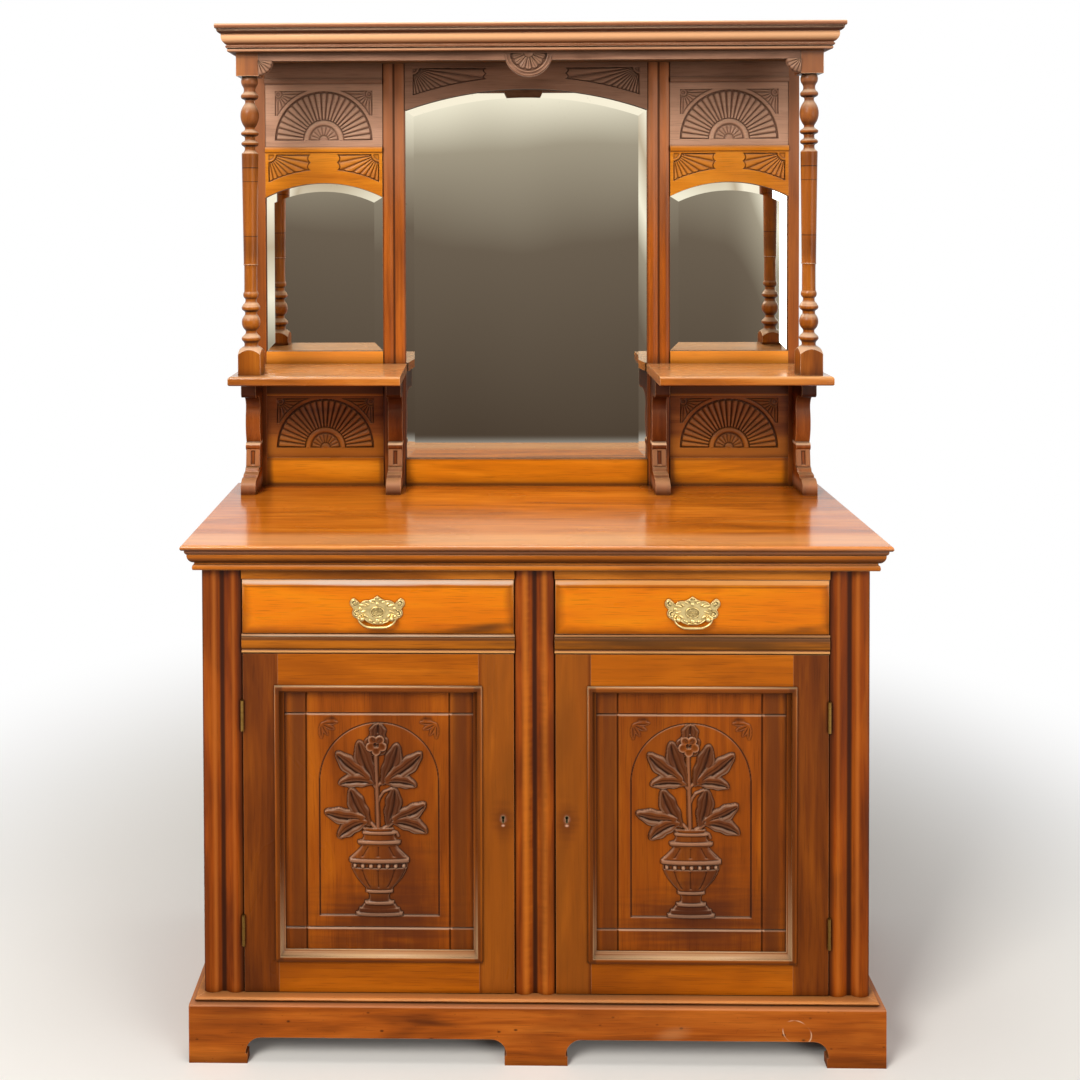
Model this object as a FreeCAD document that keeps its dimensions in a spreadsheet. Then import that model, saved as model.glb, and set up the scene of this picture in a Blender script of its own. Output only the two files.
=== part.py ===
import FreeCAD, Part
"""Mirror-back chiffonier: a two-door, two-drawer cupboard on a plinth, with a shelved mirror gallery.

Millimetres.  X runs along the front (the viewer's right is +X), Y runs from the front to the wall
and Z is up.  The origin is on the floor, under the middle of the slab.  The object is symmetrical
about X = 0, so most pieces are made once, on the -X side, and mirrored.
"""
import math
import os
import re

import Sketcher
from FreeCAD import Placement, Rotation, Vector

PARTS_FOLDER = "parts"

# Driving dimensions: plain numbers in the sheet "Sizes".
SIZES = {
    # slab, carcass and plinth
    "slab_width": 1236.0, "slab_depth": 450.0, "slab_thick": 18.0, "slab_top": 916.0,
    "slab_overhang": 30.0, "slab_nose": 9.5, "slab_mould_height": 30.0, "slab_mould_set": 9.7,
    "wall_gap": 10.0,
    "plinth_height": 102.0, "plinth_overhang": 22.0, "plinth_thick": 18.0, "plinth_arris": 3.0,
    "corner_foot": 103.0, "centre_foot": 110.0, "arch_height": 46.0, "arch_radius": 27.0,
    "foot_straight": 17.0, "foot_nib": 3.0, "block_side": 35.0, "plinth_back_lift": 20.0,
    "base_mould_height": 7.5, "base_mould_set": 9.0,
    "end_thick": 18.0, "bottom_thick": 18.0, "partition_thick": 18.0, "back_thick": 8.0,
    "back_board_width": 96.0, "back_board_gap": 0.5,
    "cupboard_shelf_thick": 16.0, "cupboard_shelf_level": 430.0, "cupboard_shelf_set": 26.0,
    "bearer_side": 20.0,
    # face of the carcass
    "pilaster_width": 70.5, "pilaster_thick": 22.0, "reed_rise": 5.0, "reed_groove": 10.0,
    "frieze_height": 49.0, "drawer_opening": 98.5, "drawer_rail_height": 33.5,
    "rail_bead": 5.0, "rail_quirk": 1.2, "rail_rise": 2.0,
    "rail_thick": 20.0, "runner_thick": 20.0, "guide_height": 24.0,
    "guide_gap": 1.0, "front_gap": 1.5, "stop_gap": 0.3,
    # doors
    "door_thick": 20.0, "stile_width": 62.0, "panel_set": 9.0, "panel_thick": 8.0, "panel_tongue": 6.0,
    "door_mould_width": 16.0, "door_mould_rise": 6.0, "door_mould_lap": 6.0,
    "carving_half": 107.0, "carving_foot": 244.0, "carving_spring": 482.0, "carving_depth": 1.5,
    # hinges and locks
    "hinge_length": 54.0, "hinge_low": 222.0, "hinge_high": 606.0, "knuckle_radius": 3.0,
    "pin_radius": 1.1, "pin_gap": 0.05, "leaf_thick": 1.5, "leaf_width": 16.0, "knuckle_gap": 0.3,
    "pin_proud": 0.5, "hinge_clear": 0.4,
    "lock_level": 425.0, "keyhole_in": 19.5, "keyhole_radius": 2.6, "keyhole_drop": 9.0,
    "lock_width": 44.0, "lock_height": 46.0, "lock_thick": 9.0, "bolt_height": 14.0, "bolt_thick": 5.0,
    "bolt_length": 28.0, "bolt_gap": 0.2, "bolt_set": 0.5, "keep_plate": 1.2,
    "keep_height": 36.0, "keep_depth": 11.0, "keep_gap": 2.0, "escutcheon_wall": 1.0,
    "escutcheon_depth": 3.0,
    # drawers and their pulls
    "drawer_proud": 2.0, "drawer_front_thick": 20.0, "drawer_bevel": 8.0, "drawer_bevel_drop": 4.0,
    "drawer_back_gap": 39.0, "drawer_side_thick": 10.0, "drawer_side_gap": 2.5, "drawer_side_drop": 14.0,
    "drawer_bottom_thick": 6.0, "drawer_bottom_lift": 7.0, "drawer_groove": 5.0, "runner_gap": 0.3,
    "drawer_stop": 4.0,
    "plate_thick": 1.6, "plate_width": 93.0, "pull_lift": 41.0,
    "post_spread": 26.0, "post_drop": 11.0, "post_radius": 3.0, "post_head": 4.2, "post_stand": 6.5,
    "bail_radius": 1.9, "bail_pin": 1.2, "bail_drop": 17.0, "bail_clear": 0.4, "bail_floor": 15.0,
    "nut_side": 9.0, "nut_thick": 3.0,
    # gallery: frame, mirrors and carved panels
    "frame_thick": 22.0, "stile_inset": 17.0, "outer_stile": 22.0, "inner_stile": 48.0,
    "centre_glass": 508.0, "gallery_top": 1806.0, "lip_thick": 6.0, "rebate": 6.0,
    "glass_thick": 3.5, "glass_bevel": 18.0, "bevel_drop": 1.5,
    "arch_bead": 12.0, "arch_bead_rise": 3.5, "bottom_rail_height": 59.0,
    "fan_panel_height": 131.0, "fan_panel_thick": 14.0, "fan_panel_set": 2.0,
    "side_glass_base": 1200.0, "side_glass_spring": 1525.0, "side_glass_rise": 30.0,
    "centre_glass_base": 972.0, "centre_glass_spring": 1707.0, "centre_glass_rise": 44.0,
    "upper_fan_base": 1631.0, "upper_fan_height": 132.0,
    "fan_radius": 103.0, "fan_hub": 42.0, "fan_depth": 4.0, "low_fan_lift": 21.0, "high_fan_lift": 14.0,
    # gallery: shelves, brackets, columns and cornice
    "shelf_overhang": 41.0, "shelf_thick": 18.0, "shelf_top": 1174.0, "shelf_lap": 2.0, "shelf_nose": 4.0,
    "bracket_thick": 30.0, "bracket_foot": 78.0, "bracket_head": 70.0, "bracket_waist": 20.0,
    "column_set": 148.0, "column_inset": 38.5, "column_block": 44.0, "cap_height": 45.0,
    "base_height": 45.0,
    "cornice_width": 1211.0, "cornice_overhang": 58.0, "cornice_height": 52.0, "cornice_board": 18.0,
    "cornice_mould": 24.0, "apron_height": 16.0, "apron_thick": 12.0, "pendant_radius": 47.0,
    "pendant_drop": 49.0, "pendant_rim": 11.0, "apron_bracket": 26.0,
}

# Places worked out from the sizes: formulas in the sheet "Places".
PLACES = {
    "slab_front": "-slab_depth / 2",
    "slab_back": "slab_depth / 2",
    "slab_base": "slab_top - slab_thick",
    "carcass_half": "slab_width / 2 - slab_overhang",
    "carcass_front": "slab_front + slab_overhang",
    "carcass_back": "slab_back - wall_gap",
    "face_back": "carcass_front + pilaster_thick",
    "plinth_half": "carcass_half + plinth_overhang",
    "plinth_face": "carcass_front - plinth_overhang",
    "carcass_floor": "plinth_height + base_mould_height",
    "opening_in": "pilaster_width / 2",
    "opening_out": "carcass_half - pilaster_width",
    "drawer_roof": "slab_base - frieze_height",
    "rail_top": "drawer_roof - drawer_opening",
    "rail_low": "rail_top - drawer_rail_height",
    "cupboard_floor": "carcass_floor + bottom_thick",
    "end_inner": "carcass_half - end_thick",
    "partition_half": "partition_thick / 2",
    "panel_back_plane": "carcass_back - back_thick",
    "door_in": "opening_in + front_gap",
    "door_out": "opening_out - front_gap",
    "door_low": "carcass_floor + front_gap",
    "door_high": "rail_low - front_gap",
    "door_face": "face_back - door_thick",
    "panel_face": "door_face + panel_set",
    "door_mould_inset": "stile_width - door_mould_lap",
    "pin_across": "opening_out - front_gap / 2",
    "pin_deep": "door_face - knuckle_radius + pin_proud",
    "drawer_face": "carcass_front - drawer_proud",
    "drawer_front_back": "drawer_face + drawer_front_thick",
    "drawer_low": "rail_top + front_gap",
    "drawer_high": "drawer_roof - front_gap",
    "drawer_end": "panel_back_plane - drawer_back_gap",
    "drawer_middle": "(opening_in + opening_out) / 2",
    "box_out": "opening_out - drawer_side_gap - front_gap",
    "box_in": "opening_in + drawer_side_gap + front_gap",
    "box_low": "rail_top + runner_gap",
    "box_high": "drawer_high - drawer_side_drop",
    "pull_level": "drawer_low + pull_lift",
    "plate_front": "drawer_face - plate_thick",
    "post_level": "pull_level - post_drop",
    "bail_deep": "plate_front - post_stand",
    "frame_front": "slab_back - frame_thick",
    "glass_plane": "frame_front + lip_thick",
    "gallery_half": "carcass_half - stile_inset",
    "side_out": "gallery_half - outer_stile",
    "centre_half": "centre_glass / 2",
    "side_in": "centre_half + inner_stile",
    "side_middle": "(side_in + side_out) / 2",
    "low_panel_base": "slab_top + bottom_rail_height",
    "low_panel_top": "low_panel_base + fan_panel_height",
    "high_panel_top": "upper_fan_base + upper_fan_height",
    "shelf_under": "shelf_top - shelf_thick",
    "shelf_front": "column_deep - shelf_overhang",
    "column_across": "carcass_half - column_inset",
    "column_deep": "frame_front - column_set",
    "cornice_half": "cornice_width / 2",
    "cornice_front": "column_deep - cornice_overhang",
    "apron_face": "column_deep - column_block / 2 + 1",
    "column_inner": "column_across - column_block / 2",
}

# Turned middle of a column, from the top block down: (height, radius half-way or None, radius at the end).
# A row with a radius half-way is an arc, so it is a bead, a cove or a bulb; the others are straight.
TURNING_ABOVE = (
    (1.5, None, 15.0), (18.5, 16.5, 12.5), (11.0, 11.2, 12.5), (3.0, None, 15.5), (9.0, 17.2, 15.0),
    (2.5, None, 9.8), (8.0, 9.0, 10.5), (45.0, 18.2, 10.5), (7.0, 9.6, 11.5), (2.0, None, 15.0),
    (8.0, 17.4, 15.0), (2.0, None, 10.8), (8.0, 9.8, 10.8), (2.0, None, 14.5), (8.0, 16.8, 14.5),
    (2.0, None, 11.0), (10.0, 10.2, 12.5), (2.5, None, 15.6),
)
TURNING_BELOW = (
    (2.5, None, 12.8), (50.0, None, 13.0), (2.0, None, 13.6), (11.0, 15.2, 13.6), (2.0, None, 11.5),
    (11.0, 11.2, 15.0), (3.0, None, 16.6), (9.0, 18.2, 16.0), (2.5, None, 12.6), (7.0, 11.8, 12.6),
    (30.0, 18.2, 11.5), (8.0, 10.6, 12.5), (4.0, None, 16.6), (9.0, 18.6, 16.6), (2.5, None, 14.6),
    (9.0, 13.2, 14.5),
)
# Small round holes through a backplate, one each side: (across, up, radius), the first two in plate widths.
PLATE_PIERCINGS = (("0.05", "0.180", "1.2"), ("0.085", "-0.095", "1.7"), ("0.085", "-0.190", "1.3"),
                   ("0.36", "0.020", "1.3"))
SHAFT_TOP_RADIUS = 16.2
SHAFT_FOOT_RADIUS = 13.7
SHAFT_RING = (1.5, None, 14.6)
TONGUE_HEIGHT = 20.0
TONGUE_RADIUS = 34.0

doc = FreeCAD.newDocument("Chiffonier")
NODES = []


# ---------------------------------------------------------------- sheets and expressions

def make_sheet(label, cells):
    """Put one alias and its cell text on each row of a new sheet."""
    sheet = doc.addObject("Spreadsheet::Sheet", label)
    for row, (alias, text) in enumerate(cells.items(), start=1):
        sheet.set("A%d" % row, alias)
        sheet.set("B%d" % row, str(text))
        sheet.setAlias("B%d" % row, alias)
    return sheet


def spell(text):
    """Write the sheet's name before each alias in a formula."""
    def qualify(match):
        word = match.group(0)
        if word in SIZES:
            return "Sizes." + word
        return "Places." + word if word in PLACES else word
    return re.sub(r"[a-z_]+", qualify, text)


def place_formula(text):
    """Spell a formula for a cell of the sheet Places, where that sheet's own aliases stay bare."""
    return "=" + spell(text).replace("Places.", "")


sizes = make_sheet("Sizes", SIZES)
places = make_sheet("Places", {alias: place_formula(text) for alias, text in PLACES.items()})
doc.recompute()


def value(alias):
    """Read one size or place, in millimetres."""
    sheet = sizes if alias in SIZES else places
    return float(sheet.get(alias))


# ---------------------------------------------------------------- solids

def board(name, x, y, z):
    """A box between two corners, each coordinate a (low, high) pair of formulas."""
    box = doc.addObject("Part::Box", name)
    for axis, size, (low, high) in (("x", "Length", x), ("y", "Width", y), ("z", "Height", z)):
        box.setExpression("Placement.Base." + axis, spell(low))
        box.setExpression(size, spell("(%s) - (%s)" % (high, low)))
    return box


def rod(name, radius, length, at, axis):
    """A cylinder from a point along +X, +Y or +Z, its sizes and place given as formulas."""
    cylinder = doc.addObject("Part::Cylinder", name)
    cylinder.setExpression("Radius", spell(radius))
    cylinder.setExpression("Height", spell(length))
    cylinder.Placement = Placement(Vector(), Rotation(Vector(0, 0, 1), axis))
    for letter, formula in zip("xyz", at):
        cylinder.setExpression("Placement.Base." + letter, spell(formula))
    return cylinder


def cut(name, base, tools):
    """The base with every tool taken out of it."""
    result = doc.addObject("Part::Cut", name)
    result.Base = base
    result.Tool = tools[0] if len(tools) == 1 else fuse(name + "_tools", tools)
    return result


def fuse(name, shapes):
    """Several overlapping or touching shapes as one solid."""
    result = doc.addObject("Part::MultiFuse", name)
    result.Shapes = shapes
    result.Refine = True
    return result


def common(name, shapes):
    """What two shapes share."""
    result = doc.addObject("Part::MultiCommon", name)
    result.Shapes = shapes
    return result


def mirrored(source, name=None):
    """The same piece on the +X side."""
    result = doc.addObject("Part::Mirroring", name or source.Name + "_right")
    result.Source = source
    result.Base = Vector(0, 0, 0)
    result.Normal = Vector(1, 0, 0)
    return result


def fixed_shape(name, shape):
    """A piece whose shape comes from Part's own functions, for swept and mitred mouldings."""
    feature = doc.addObject("Part::Feature", name)
    feature.Shape = shape
    feature.Placement = Placement()
    return feature


def node(label, members):
    """Name a piece, or a group of like pieces, as one node of the object."""
    members = members if isinstance(members, list) else [members]
    if len(members) == 1:
        group = members[0]
    else:
        group = doc.addObject("Part::Compound", label + "_group")
        group.Links = members
    group.Label = label
    NODES.append(group)
    return group


def pair(label, source):
    """A node of a piece and its mirror image."""
    return node(label, [source, mirrored(source)])


# ---------------------------------------------------------------- outlines

def arc_through(start, middle, end):
    """The arc through three points, always stored anticlockwise."""
    if (middle - start).cross(end - middle).z < 0:
        start, end = end, start
    curve = Part.Arc(start, middle, end).toShape().Curve
    circle = Part.Circle(curve.Center, Vector(0, 0, 1), curve.Radius)
    return Part.ArcOfCircle(circle, circle.parameter(start), circle.parameter(end))


def outline(start, steps):
    """Edges from a start point: a step of one point is a line, one of two points is an arc."""
    edges = []
    here = Vector(start[0], start[1], 0)
    for step in list(steps) + [(start,)]:
        points = [Vector(x, y, 0) for x, y in step]
        if (points[-1] - here).Length < 1e-6:
            continue
        straight = len(points) == 1
        edges.append(Part.LineSegment(here, points[0]) if straight else arc_through(here, *points))
        here = points[-1]
    return edges


def plane_of(body, role):
    """One of a body's own origin planes."""
    return next(item for item in body.Origin.OriginFeatures if item.Role == role)


def joints_of(edges):
    """One coincidence for each corner of a closed run of edges."""
    found = []
    for index, edge in enumerate(edges):
        following = (index + 1) % len(edges)
        near = (edge.StartPoint, edge.EndPoint)
        far = (edges[following].StartPoint, edges[following].EndPoint)
        gaps = [((near[a] - far[b]).Length, a + 1, b + 1) for a in range(2) for b in range(2)]
        _, own_end, other_end = min(gaps)
        found.append(Sketcher.Constraint("Coincident", index, own_end, following, other_end))
    return found


def sketch_on(body, role, edges):
    """A closed sketch on a body's own origin plane, its corners joined."""
    sketch = body.newObject("Sketcher::SketchObject", body.Name + "_outline")
    sketch.AttachmentSupport = [(plane_of(body, role), "")]
    sketch.MapMode = "FlatFace"
    sketch.addGeometry(edges, False)
    sketch.addConstraint(joints_of(edges))
    return sketch


def slab_of(name, role, edges, length, offset):
    """A flat piece: an outline padded along its plane's normal and set off along it by a formula."""
    body = doc.addObject("PartDesign::Body", name)
    sketch = sketch_on(body, role, edges)
    pad = body.newObject("PartDesign::Pad", name + "_pad")
    pad.Profile = sketch
    pad.setExpression("Length", spell(length))
    sketch.Visibility = False
    body.Tip = pad
    axis = {"XY_Plane": "z", "XZ_Plane": "y", "YZ_Plane": "x"}[role]
    body.setExpression("Placement.Base." + axis, spell(offset))
    return body


def upright(name, edges, thick, back):
    """A board whose outline faces the front: X and Z in the sketch, padded towards -Y from its back."""
    return slab_of(name, "XZ_Plane", edges, thick, back)


def turned(name, edges, across, deep):
    """A solid turned about an upright axis, from a half outline of (radius, height)."""
    body = doc.addObject("PartDesign::Body", name)
    sketch = sketch_on(body, "XZ_Plane", edges)
    turn = body.newObject("PartDesign::Revolution", name + "_turn")
    turn.Profile = sketch
    turn.ReferenceAxis = (sketch, ["V_Axis"])
    turn.Angle = 360.0
    body.Tip = turn
    body.setExpression("Placement.Base.x", spell(across))
    body.setExpression("Placement.Base.y", spell(deep))
    return body


def prism(edges, origin, across, up, along):
    """Extrude an outline drawn in the plane of two directions, from a point, along a vector."""
    def spot(point):
        return origin + across * point.x + up * point.y
    sides = []
    for edge in edges:
        start, end = spot(edge.StartPoint), spot(edge.EndPoint)
        if isinstance(edge, Part.LineSegment):
            sides.append(Part.LineSegment(start, end).toShape())
        else:
            middle = edge.value((edge.FirstParameter + edge.LastParameter) / 2)
            sides.append(Part.Arc(start, spot(middle), end).toShape())
    return Part.Face(Part.Wire(Part.sortEdges(sides)[0])).extrude(along)


def mitre_waste(at, along, inward, up, reach):
    """The wedge on the outer side of the upright plane that halves a corner."""
    corners = [(-2, -1), (-1, -1), (2, 2), (-2, 2), (-2, -1)]
    points = [at - up * reach * 2 + along * reach * a + inward * reach * b for a, b in corners]
    return Part.Face(Part.makePolygon(points)).extrude(up * reach * 4)


def mitred_run(edges, start, end, inward, up, reach, mitre_end=True):
    """A moulding from one corner to the next, mitred at its start and, unless it dies there, its end.

    The outline is (distance in from the outer edge, height); reach is more than its width.
    """
    along = (end - start).normalize()
    run = prism(edges, start, inward, up, end - start)
    run = run.cut(mitre_waste(start, along, inward, up, reach))
    if mitre_end:
        run = run.cut(mitre_waste(end, along * -1, inward, up, reach))
    return run


# ---------------------------------------------------------------- plinth and carcass

def plinth_outline():
    """Front board with two cut-outs between bracket feet, each corner rounded above a small nib."""
    half, height = value("plinth_half"), value("plinth_height")
    arch, radius = value("arch_height"), value("arch_radius")
    straight, nib = value("foot_straight"), value("foot_nib")
    foot = half - value("corner_foot")
    centre = value("centre_foot") / 2
    bulge = radius * (1 - math.sqrt(0.5))
    steps = [((half, 0),), ((half, height),), ((-half, height),), ((-half, 0),)]
    for low, high in ((-foot, -centre), (centre, foot)):
        steps += [((low, 0),), ((low, straight),), ((low - nib, straight),),
                  ((low - nib, arch - radius),),
                  ((low - nib + bulge, arch - bulge), (low - nib + radius, arch)),
                  ((high + nib - radius, arch),),
                  ((high + nib - bulge, arch - bulge), (high + nib, arch - radius)),
                  ((high + nib, straight),), ((high, straight),), ((high, 0),)]
    return outline((half, 0), steps[1:])


def make_plinth():
    """Bracket-foot plinth with its blocks, and the flat moulding that the carcass stands on."""
    front = upright("plinth_front_board", plinth_outline(), "plinth_thick",
                    "plinth_face + plinth_thick")
    pad = front.Tip
    arris = front.newObject("PartDesign::Fillet", "plinth_front_arris")
    doc.recompute()
    front_plane = pad.Shape.BoundBox.YMin
    top = value("plinth_height") - 0.1
    tops = [index for index, edge in enumerate(pad.Shape.Edges, start=1)
            if edge.CenterOfMass.z > top and edge.CenterOfMass.y < front_plane + 0.1]
    arris.Base = (pad, ["Edge%d" % index for index in tops])
    arris.setExpression("Radius", spell("plinth_arris"))
    front.Tip = arris
    node("plinth_front", front)
    pair("plinth_ends", board(
        "plinth_end", ("-plinth_half", "-plinth_half + plinth_thick"),
        ("plinth_face + plinth_thick", "carcass_back"), ("0", "plinth_height")))
    inner = "plinth_half - plinth_thick"
    node("plinth_back_rail", board(
        "plinth_back_rail_board", ("-(%s)" % inner, inner),
        ("carcass_back - plinth_thick", "carcass_back"), ("plinth_back_lift", "plinth_height")))
    blocks = []
    front_plane = "plinth_face + plinth_thick"
    back_plane = "carcass_back - plinth_thick"
    for tag, low, high in (("front", front_plane, front_plane + " + block_side"),
                           ("back", back_plane + " - block_side", back_plane)):
        corner = board("plinth_block_" + tag, ("-(%s)" % inner, "-(%s) + block_side" % inner),
                       (low, high), ("plinth_back_lift", "plinth_height"))
        middle = board("plinth_block_middle_" + tag, ("-block_side / 2", "block_side / 2"),
                       (low, high), ("plinth_back_lift", "plinth_height"))
        blocks += [corner, mirrored(corner), middle]
    node("plinth_blocks", blocks)
    make_base_moulding()


def make_base_moulding():
    """Flat rounded strip on the plinth, mitred round the front and the ends, with a plain one behind."""
    height = value("base_mould_height")
    edge = value("plinth_half") - value("base_mould_set")
    front_edge = value("plinth_face") + value("base_mould_set")
    front_reach = value("face_back") - front_edge
    side_reach = edge - value("end_inner")
    level = value("plinth_height")

    def section(reach):
        return outline((0, height / 2), [((0.9, height - 1.6), (2.8, height)), ((reach, height),),
                                         ((reach, 0),), ((2.8, 0),), ((0.9, 1.6), (0, height / 2))])
    left, right = Vector(-edge, front_edge, level), Vector(edge, front_edge, level)
    back = Vector(-edge, value("carcass_back"), level)
    up, inward, side_in = Vector(0, 0, 1), Vector(0, 1, 0), Vector(1, 0, 0)
    reach = max(front_reach, side_reach)
    front = mitred_run(section(front_reach), left, right, inward, up, reach)
    side = mitred_run(section(side_reach), left, back, side_in, up, reach, mitre_end=False)
    side_strip = fixed_shape("base_moulding_side", side)
    back_strip = board("base_moulding_back", ("-end_inner", "end_inner"),
                       ("carcass_back - plinth_thick", "carcass_back"), ("plinth_height", "carcass_floor"))
    node("base_moulding", [fixed_shape("base_moulding_front", front), side_strip,
                           mirrored(side_strip), back_strip])


def make_carcass():
    """Ends, bottom, partition, boarded back, cupboard shelves and their bearers."""
    depth = ("face_back", "carcass_back")
    pair("carcass_ends", board("carcass_end", ("-carcass_half", "-end_inner"), depth,
                               ("carcass_floor", "slab_base")))
    inner_depth = ("face_back + stop_gap", "panel_back_plane")
    node("carcass_bottom", board("carcass_bottom_board", ("-end_inner", "end_inner"), inner_depth,
                                 ("carcass_floor", "cupboard_floor")))
    node("centre_partition", board(
        "partition_board", ("-partition_half", "partition_half"), ("face_back", "panel_back_plane"),
        ("cupboard_floor", "slab_base")))
    node("carcass_back", back_boards())
    bay = ("-end_inner", "-partition_half")
    pair("cupboard_shelves", board(
        "cupboard_shelf", bay, ("face_back + cupboard_shelf_set", "panel_back_plane"),
        ("cupboard_shelf_level - cupboard_shelf_thick", "cupboard_shelf_level")))
    bearer_depth = ("face_back + cupboard_shelf_set", "panel_back_plane")
    under = "cupboard_shelf_level - cupboard_shelf_thick"
    outer = board("bearer_outer", ("-end_inner", "-end_inner + bearer_side"), bearer_depth,
                  (under + " - bearer_side", under))
    inner = board("bearer_inner", ("-partition_half - bearer_side", "-partition_half"), bearer_depth,
                  (under + " - bearer_side", under))
    node("shelf_bearers", [outer, inner, mirrored(outer), mirrored(inner)])


def back_boards():
    """Upright boards between the ends, as many as the width holds, with a narrow gap between them."""
    width = 2 * value("end_inner")
    count = max(2, round(width / value("back_board_width")))
    boards = []
    for index in range(count):
        low = "-end_inner + %d * 2 * end_inner / %d" % (index, count)
        high = "-end_inner + %d * 2 * end_inner / %d" % (index + 1, count)
        if index + 1 < count:
            high += " - back_board_gap"
        boards.append(board("back_board_%d" % (index + 1), (low, high),
                            ("panel_back_plane", "carcass_back"), ("carcass_floor", "slab_base")))
    return boards


def reeded_section(width, rise, groove):
    """Plan of a board with two rounded reeds on its front; depth is measured back from the crests."""
    reed = (width - groove) / 2
    thick = value("pilaster_thick")
    return outline((0, thick), [((0, rise),), ((reed / 2, 0), (reed, rise)), ((reed + groove, rise),),
                                ((reed + groove + reed / 2, 0), (width, rise)), ((width, thick),)])


def make_pilasters():
    """Three reeded posts; the hinges, the lock keeps and their mortises are cut out of them."""
    width, rise, groove = value("pilaster_width"), value("reed_rise"), value("reed_groove")
    posts = []
    for tag, start in (("left", "-carcass_half"), ("centre", "-opening_in")):
        post = slab_of("pilaster_" + tag, "XY_Plane", reeded_section(width, rise, groove),
                       "slab_base - carcass_floor", "carcass_floor")
        post.setExpression("Placement.Base.x", spell(start))
        post.setExpression("Placement.Base.y", spell("carcass_front"))
        posts.append(post)
    left, centre = posts
    left_cut = cut("pilaster_left_cut", left, hinge_recesses("fixed"))
    keep_left = [keep_recess("keep_recess"), keep_mortise("keep_mortise")]
    centre_cut = cut("pilaster_centre_cut", centre, keep_left + [mirrored(item) for item in keep_left])
    node("pilasters", [left_cut, centre_cut, mirrored(left_cut)])


def make_rails():
    """Frieze rails over the drawers, beaded rails under them, and the drawer runners."""
    across = ("-opening_out", "-opening_in")
    pair("frieze_rails", board("frieze_rail", across, ("carcass_front", "carcass_front + rail_thick"),
                               ("drawer_roof", "slab_base")))
    thick, height = value("rail_thick"), value("drawer_rail_height")
    bead, quirk, rise = value("rail_bead"), value("rail_quirk"), value("rail_rise")
    section = outline((0, 0), [
        ((thick, 0),), ((thick, height),), ((0, height),),
        ((-rise * 0.6, height - bead / 2), (0, height - bead)),
        ((quirk, height - bead - quirk / 2),), ((0, height - bead - quirk),),
        ((-rise, height / 2), (0, bead + quirk)), ((quirk, bead + quirk / 2),), ((0, bead),),
        ((-rise * 0.6, bead / 2), (0, 0))])
    rail = slab_of("drawer_rail", "YZ_Plane", section, "opening_out - opening_in", "-opening_out")
    rail.setExpression("Placement.Base.y", spell("door_face"))
    rail.setExpression("Placement.Base.z", spell("rail_low"))
    pair("drawer_rails", rail)
    depth = ("door_face + rail_thick", "panel_back_plane")
    level = ("rail_top - runner_thick", "rail_top")
    guide_level = ("rail_top", "rail_top + guide_height")
    guide_depth = ("face_back", "panel_back_plane")
    outer = board("runner_outer", ("-end_inner", "-box_out + drawer_side_thick"), depth, level)
    inner = board("runner_inner", ("-box_in - drawer_side_thick", "-partition_half"), depth, level)
    outer_guide = board("guide_outer", ("-end_inner", "-box_out - guide_gap"), guide_depth, guide_level)
    inner_guide = board("guide_inner", ("-box_in + guide_gap", "-partition_half"), guide_depth,
                        guide_level)
    stop = board("drawer_stop_block", ("-drawer_middle - 20", "-drawer_middle + 20"),
                 ("drawer_front_back + stop_gap", "door_face + rail_thick"),
                 ("rail_top", "rail_top + drawer_stop"))
    pieces = [outer, inner, outer_guide, inner_guide, stop]
    node("drawer_runners", pieces + [mirrored(piece) for piece in pieces])


# ---------------------------------------------------------------- slab and its moulding

def make_slab():
    """Top board with a rounded nose, over a mitred ovolo-and-bead moulding."""
    thick, nose = value("slab_thick"), value("slab_nose")
    half, front, base = value("slab_width") / 2, value("slab_front"), value("slab_base")
    reach = 14.0
    edge = outline((reach, 0), [((reach, thick),), ((3.5, thick),),
                                ((0, thick - nose * 0.45), (3.5, thick - nose)), ((6.5, thick - nose),),
                                ((6.9, thick - nose - 5.5), (value("slab_mould_set"), 0))])
    up, inward, side_in = Vector(0, 0, 1), Vector(0, 1, 0), Vector(1, 0, 0)
    left, right = Vector(-half, front, base), Vector(half, front, base)
    back = Vector(-half, value("slab_back"), base)
    front_edge = fixed_shape("slab_front_edge", mitred_run(edge, left, right, inward, up, reach))
    side_edge = fixed_shape("slab_side_edge", mitred_run(edge, left, back, side_in, up, reach,
                                                         mitre_end=False))
    core = board("slab_core", ("-slab_width / 2 + 14", "slab_width / 2 - 14"),
                 ("slab_front + 14", "slab_back"), ("slab_base", "slab_top"))
    node("slab", fuse("slab_board", [core, front_edge, side_edge, mirrored(side_edge)]))

    height, mould_set = value("slab_mould_height"), value("slab_mould_set")
    overhang = value("slab_overhang")
    section = outline((mould_set, 0), [
        ((mould_set + 1.2, -8), (mould_set + 7, -height * 0.52)),
        ((mould_set + 10.5, -height * 0.57),), ((mould_set + 10.5, -height * 0.68),),
        ((mould_set + 8.6, -height * 0.70),),
        ((mould_set + 7.4, -height * 0.85), (mould_set + 8.6, -height)),
        ((overhang, -height),), ((overhang, 0),)])
    front_strip = mitred_run(section, left, right, inward, up, overhang + 4)
    side_strip = fixed_shape("slab_moulding_side", mitred_run(
        section, left, Vector(-half, value("carcass_back"), base), side_in, up, overhang + 4,
        mitre_end=False))
    node("slab_moulding", [fixed_shape("slab_moulding_front", front_strip), side_strip,
                           mirrored(side_strip)])


# ---------------------------------------------------------------- hinges and locks

def hinge_levels():
    """Formulas for the bottom of each hinge."""
    return {"low": "hinge_low - hinge_length / 2", "high": "hinge_high - hinge_length / 2"}


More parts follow.
